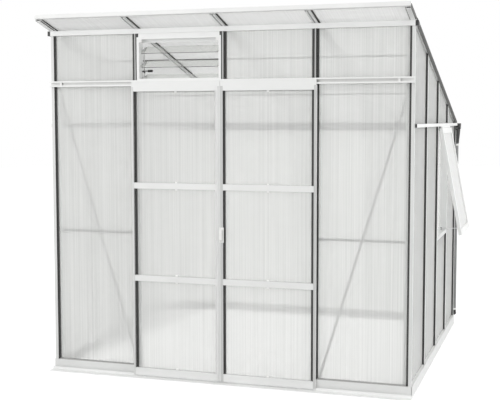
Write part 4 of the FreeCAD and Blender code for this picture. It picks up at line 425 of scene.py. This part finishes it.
# %% Finishes by part
FINISHES = {
    white_coat: (
        "front_eave_beam gable_rafters roof_rafters front_fascia side_rails door_track "
        "louvre_frame window_surround window_sash base_front base_rear_sides"
    ),
    # Sills, bars, posts and door frames get white coats darkened to paint their shade.
    base_coat_shaded: "sills",
    bar_coat_shaded: "corner_posts side_bars rear_bars",
    post_coat_shaded: "front_bars",
    door_coat_shaded: "door_left_frame door_right_frame",
    # The white rear gutter in a dark grey that paints its shade.
    gutter_shade_grey: "rear_eave_gutter",
    galvanised: "corner_shoes",
    # Braces, inner rails and transoms: steel whose dark grey is partly painted shade.
    brace_steel_and_shade: "braces inner_rails transoms",
    white_plastic: "door_handle pipe_clips door_left_glides door_right_glides "
                   "door_left_clips door_right_clips door_stops",
    sheet_x: "front_panes rear_panes door_left_panes door_right_panes",
    sheet_y: "side_panes",
    sash_sheet: "window_pane",
    sheet_roof: "roof_panes",
    slat_sheet: "louvre_slat_top louvre_slat_middle louvre_slat_low",
    black_rubber: "wall_seals roof_seals door_left_seals door_right_seals",
    strip_rubber: "gable_strips",
    grey_rubber: "roof_joint_strips",
    black_plastic: "end_caps stay_stud louvre_lever drain_fittings",
    light_plastic: "louvre_clips_top louvre_clips_middle louvre_clips_low louvre_link",
    nylon: "door_left_inner_roller door_left_outer_roller door_right_inner_roller "
           "door_right_outer_roller",
    grey_pipe: "downpipe",
    bare_metal: "window_stay",
}
finish_of = {name: look for look, names in FINISHES.items() for name in names.split()}
for name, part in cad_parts.items():
    if name not in finish_of:
        raise SystemExit(f"{name} has no finish")
    for slot in part.material_slots:
        slot.material = finish_of[name]
print("parts finished:", len(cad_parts))

# %% [markdown]
# ## Small pieces that the frame leaves out
#
# Some details lie on the frame and carry no load, so they are added here: rubber beads beside
# the noses, grey faces that paint the shade on the door stiles, grey strips at the foot of the
# wall, one of them a painted shadow line, and a lip there, strips on the roof's edge, and a pale
# liner at the back of the door track. Each is one plain bar, made from a cube that is scaled to
# its place and gets a small bevel, since an extruded edge is never sharp.


# %% Helpers for added pieces
SIDES = (("left", -1), ("right", 1))
BACK_IN = 0.0005   # how far a bar's back reaches into the piece that it lies on


def finished_piece(maker, name, look, body):
    """Turns a bmesh into a piece that rides on a body."""
    mesh = bpy.data.meshes.new(name)
    maker.to_mesh(mesh)
    maker.free()
    mesh.materials.clear()
    mesh.materials.append(look)
    piece = bpy.data.objects.new(name, mesh)
    scene.collection.objects.link(piece)
    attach(piece, body)
    return piece


def plain_bar(name, spans, look, body="frame", edge=0.0005, turn=0.0, pivot=(0, 0, 0)):
    """A bevelled bar that fills a span of x, y and z, turned about X if asked."""
    maker = bmesh.new()
    bmesh.ops.create_cube(maker, size=1)
    size = [abs(end - start) for start, end in spans]
    middle = [(start + end) / 2 for start, end in spans]
    bmesh.ops.scale(maker, verts=maker.verts, vec=size)
    bmesh.ops.translate(maker, verts=maker.verts, vec=middle)
    bmesh.ops.bevel(maker, geom=maker.edges[:], offset=edge, segments=2, profile=0.5,
                    affect="EDGES", material=-1)
    if turn:
        bmesh.ops.rotate(maker, verts=maker.verts, cent=pivot, matrix=Matrix.Rotation(turn, 3, "X"))
    finished_piece(maker, name, look, body)


print("helpers ready")

# %% [markdown]
# ## Rubber beads beside the noses
#
# The strip that holds a pane is pushed in behind the bar's nose, and its bead laps the nose's
# edge by a few millimetres. From the front the white nose looks narrower between two dark
# lines. On the wall the beads run from the door track up to the beam. On the doors they run
# beside each of the three panes.

# %% Beads
NOSE = 0.018
BEAD_OUT = 0.0012
BEAD_EDGE = 0.0003
front_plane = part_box("front_bars")[0].y
door_front = front_plane - 0.032
beam_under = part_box("front_eave_beam")[0].z
track_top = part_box("door_track")[1].z
bead_depth = (front_plane - BEAD_OUT, front_plane + BACK_IN)
bead_widths = {-0.62: (0.004, 0.006), 0.0: (0.006, 0.004), 0.62: (0.005, 0.005)}
beads = 0
for middle, widths in bead_widths.items():
    for (_, sign), width in zip(SIDES, widths):
        across = (middle + sign * (NOSE / 2 - width), middle + sign * (NOSE / 2 + BACK_IN))
        plain_bar(f"nose_bead_{beads}", (across, bead_depth, (track_top, beam_under)),
                  black_rubber, edge=BEAD_EDGE)
        beads += 1

bead_depth = (door_front - BEAD_OUT, door_front + BACK_IN)
pane_heights = ((0.062, 0.659), (0.699, 1.286), (1.326, 1.935))
for (side, sign), width in zip(SIDES, (0.004, 0.003)):
    frame_low, frame_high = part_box(f"door_{side}_frame")
    outer = frame_low.x if sign < 0 else frame_high.x
    across = (outer - sign * NOSE, outer - sign * (NOSE - width))
    for height in pane_heights:
        plain_bar(f"door_{side}_bead_{beads}", (across, bead_depth, height), black_rubber,
                  f"door_{side}", edge=BEAD_EDGE)
        beads += 1
print("beads:", beads)

# %% [markdown]
# ## Faces of the door stiles, with painted shade
#
# A stile is not one flat face. Its front steps back beside the pane and lies in shade there, so
# it looks greyer than the rails. Where the doors meet, the right-hand one lies in the shade of the
# other's cover strip, and a lip of the sheet laps the left-hand one. Thin face bars in darker greys
# paint that shade on the stiles. The cover's face is only a tenth of a millimetre proud, because
# the handle passes close before it.

# %% Stile faces with painted shade
STILE_HEIGHT = (0.0125, 1.9655)
# Face bars whose darker greys paint the shade on the door stiles.
STILE_SHADE_FACES = (   # body, part, its span of x, how far it stands out, finish
    ("door_left", "outer", (-0.6360, -0.6228), 0.0008, stile_coat_shaded),
    ("door_left", "cover", (-0.0255, -0.0090), 0.0031, stile_coat_shaded),
    ("door_left", "lip", (-0.0425, -0.0252), 0.0040, edge_sheet),
    ("door_right", "meeting", (-0.0060, 0.0104), 0.0010, post_coat_shaded),
    ("door_right", "outer", (0.6216, 0.6360), 0.0008, post_coat_shaded),
)
for body, part, across, out_by, look in STILE_SHADE_FACES:
    depth = (door_front - out_by, door_front + 0.0004)
    plain_bar(f"{body}_face_{part}", (across, depth, STILE_HEIGHT), look, body, edge=0.0003)
print("stile faces:", len(STILE_SHADE_FACES))

# %% [markdown]
# ## The foot of the front wall
#
# Under each fixed pane a grey strip on the sill's ledge darkens the line there, and a thinner
# dark strip paints the shadow line between the sill and the ground rail. In front of the whole
# wall the ground rail ends in a thin flat lip on the ground.

# %% Foot of the wall
for side, sign in SIDES:
    pane = (sign * 0.6435, sign * 1.2155)
    plain_bar(f"pane_foot_strip_{side}", (pane, (-1.2237, -1.2043), (0.0698, 0.0765)), foot_strip_and_shade_grey)
    sill = (sign * 0.6115, sign * 1.2495)
    # A thin dark strip that paints the shadow line between the sill and the ground rail.
    plain_bar(f"sill_shadow_line_{side}", (sill, (-1.2255, -1.2238), (0.0035, 0.0068)), foot_strip_and_shade_grey)
plain_bar("ground_lip", ((-1.2600, 1.2600), (-1.2950, -1.2605), (0.0, 0.0035)), white_coat)
print("foot pieces:", 5)

# %% [markdown]
# ## The roof's edge outside the wall
#
# Behind the front wall a dark strip closes each gable. In front of the wall two dark grey bars
# go on over the side of the end rafter to the fascia and make that side darker. They are laid
# level and then turned about the front wall's top edge by the slope of the roof. The lower one
# stops at the beam's cap. A thin bead runs where the roof sheet meets the end rafter.

# %% Overhang strips
FRONT_TOP, BACK_TOP = 2.350, 1.700   # heights of the two walls
WALL_TO_WALL = 2.436
roof_angle = math.atan((FRONT_TOP - BACK_TOP) / WALL_TO_WALL)
sloped = {"turn": -roof_angle, "pivot": (0, front_plane, FRONT_TOP)}
rafter_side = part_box("gable_rafters")[1].x
STRIP_PARTS = (   # along the roof from the wall's front, then up from its top
    ((-0.205, 0.050), (0.017, 0.031)),
    ((-0.205, -0.009), (0.001, 0.0168)),
)


def from_wall(along, up):
    """Spans of y and z counted from the front wall's top edge."""
    return [front_plane + end for end in along], [FRONT_TOP + end for end in up]


for side, sign in SIDES:
    across = (sign * rafter_side, sign * (rafter_side + 0.003))
    for part, (along, up) in enumerate(STRIP_PARTS):
        plain_bar(f"overhang_strip_{side}_{part}", (across, *from_wall(along, up)), grey_rubber,
                  **sloped)
    across = (sign * (rafter_side - 0.030), sign * (rafter_side - 0.034))
    plain_bar(f"overhang_bead_{side}", (across, *from_wall((-0.200, -0.010), (0.001, 0.005))),
              black_rubber, **sloped)
print("overhang pieces:", 6)

# %% [markdown]
# ## The liner of the door track
#
# The track is a C, open to the front. A pale nylon liner at its back keeps grit from the
# rollers and makes the slot look light from outside. It runs between the end stops, a
# millimetre clear of each.

# %% Track liner
TRACK_END = 1.248
STOPS = ((-1.1735, -1.1595), (-0.087, -0.073), (0.064, 0.078), (1.1505, 1.1645))
liner_depth = (front_plane - 0.0095, front_plane - 0.0021)
edges = [-TRACK_END] + [x for stop in STOPS for x in stop] + [TRACK_END]
for part, (start, end) in enumerate(zip(edges[::2], edges[1::2])):
    plain_bar(f"track_liner_{part}", ((start + 0.001, end - 0.001), liner_depth, (1.9745, 2.0075)),
              white_plastic)
print("liner pieces:", len(edges) // 2)

# %% [markdown]
# ## Dark and pale end caps
#
# The caps come as one part of the frame, but two kinds of plastic are used: black on the beam,
# the gutter and the right-hand rail, white on the left-hand rail and in the window's corners.
# A copy of the frame's mesh is merged first, then each colour keeps only its own caps. Two
# small black keys close the upper corners of the louvre window.


# %% End caps
def caps_where(name, keep, look):
    """A copy of the end caps that keeps the caps whose corners pass a test."""
    maker = bmesh.new()
    maker.from_mesh(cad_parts["end_caps"].data)
    bmesh.ops.remove_doubles(maker, verts=maker.verts, dist=0.00001)
    gone = [corner for corner in maker.verts if not keep(corner.co)]
    bmesh.ops.delete(maker, geom=gone, context="VERTS")
    piece = finished_piece(maker, name, look, "frame")
    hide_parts("end_caps")


def is_pale(place):
    """True at the left-hand rail's front cap and at the louvre window's corners."""
    left_rail = -1.2640 < place.x < -1.2530 and 1.690 < place.z < 1.725 and place.y < 1.2
    window_corner = -0.60 < place.x < -0.02
    return left_rail or window_corner


caps_where("dark_caps", lambda place: not is_pale(place), black_plastic)
caps_where("pale_caps", is_pale, white_plastic)
key_depth = (front_plane - 0.0015, front_plane + BACK_IN)
for (side, _), across in zip(SIDES, ((-0.6085, -0.596), (-0.020, -0.0115))):
    plain_bar(f"corner_key_{side}", (across, key_depth, (2.296, beam_under)), black_plastic,
              edge=0.0004)
print("cap pieces:", 4)
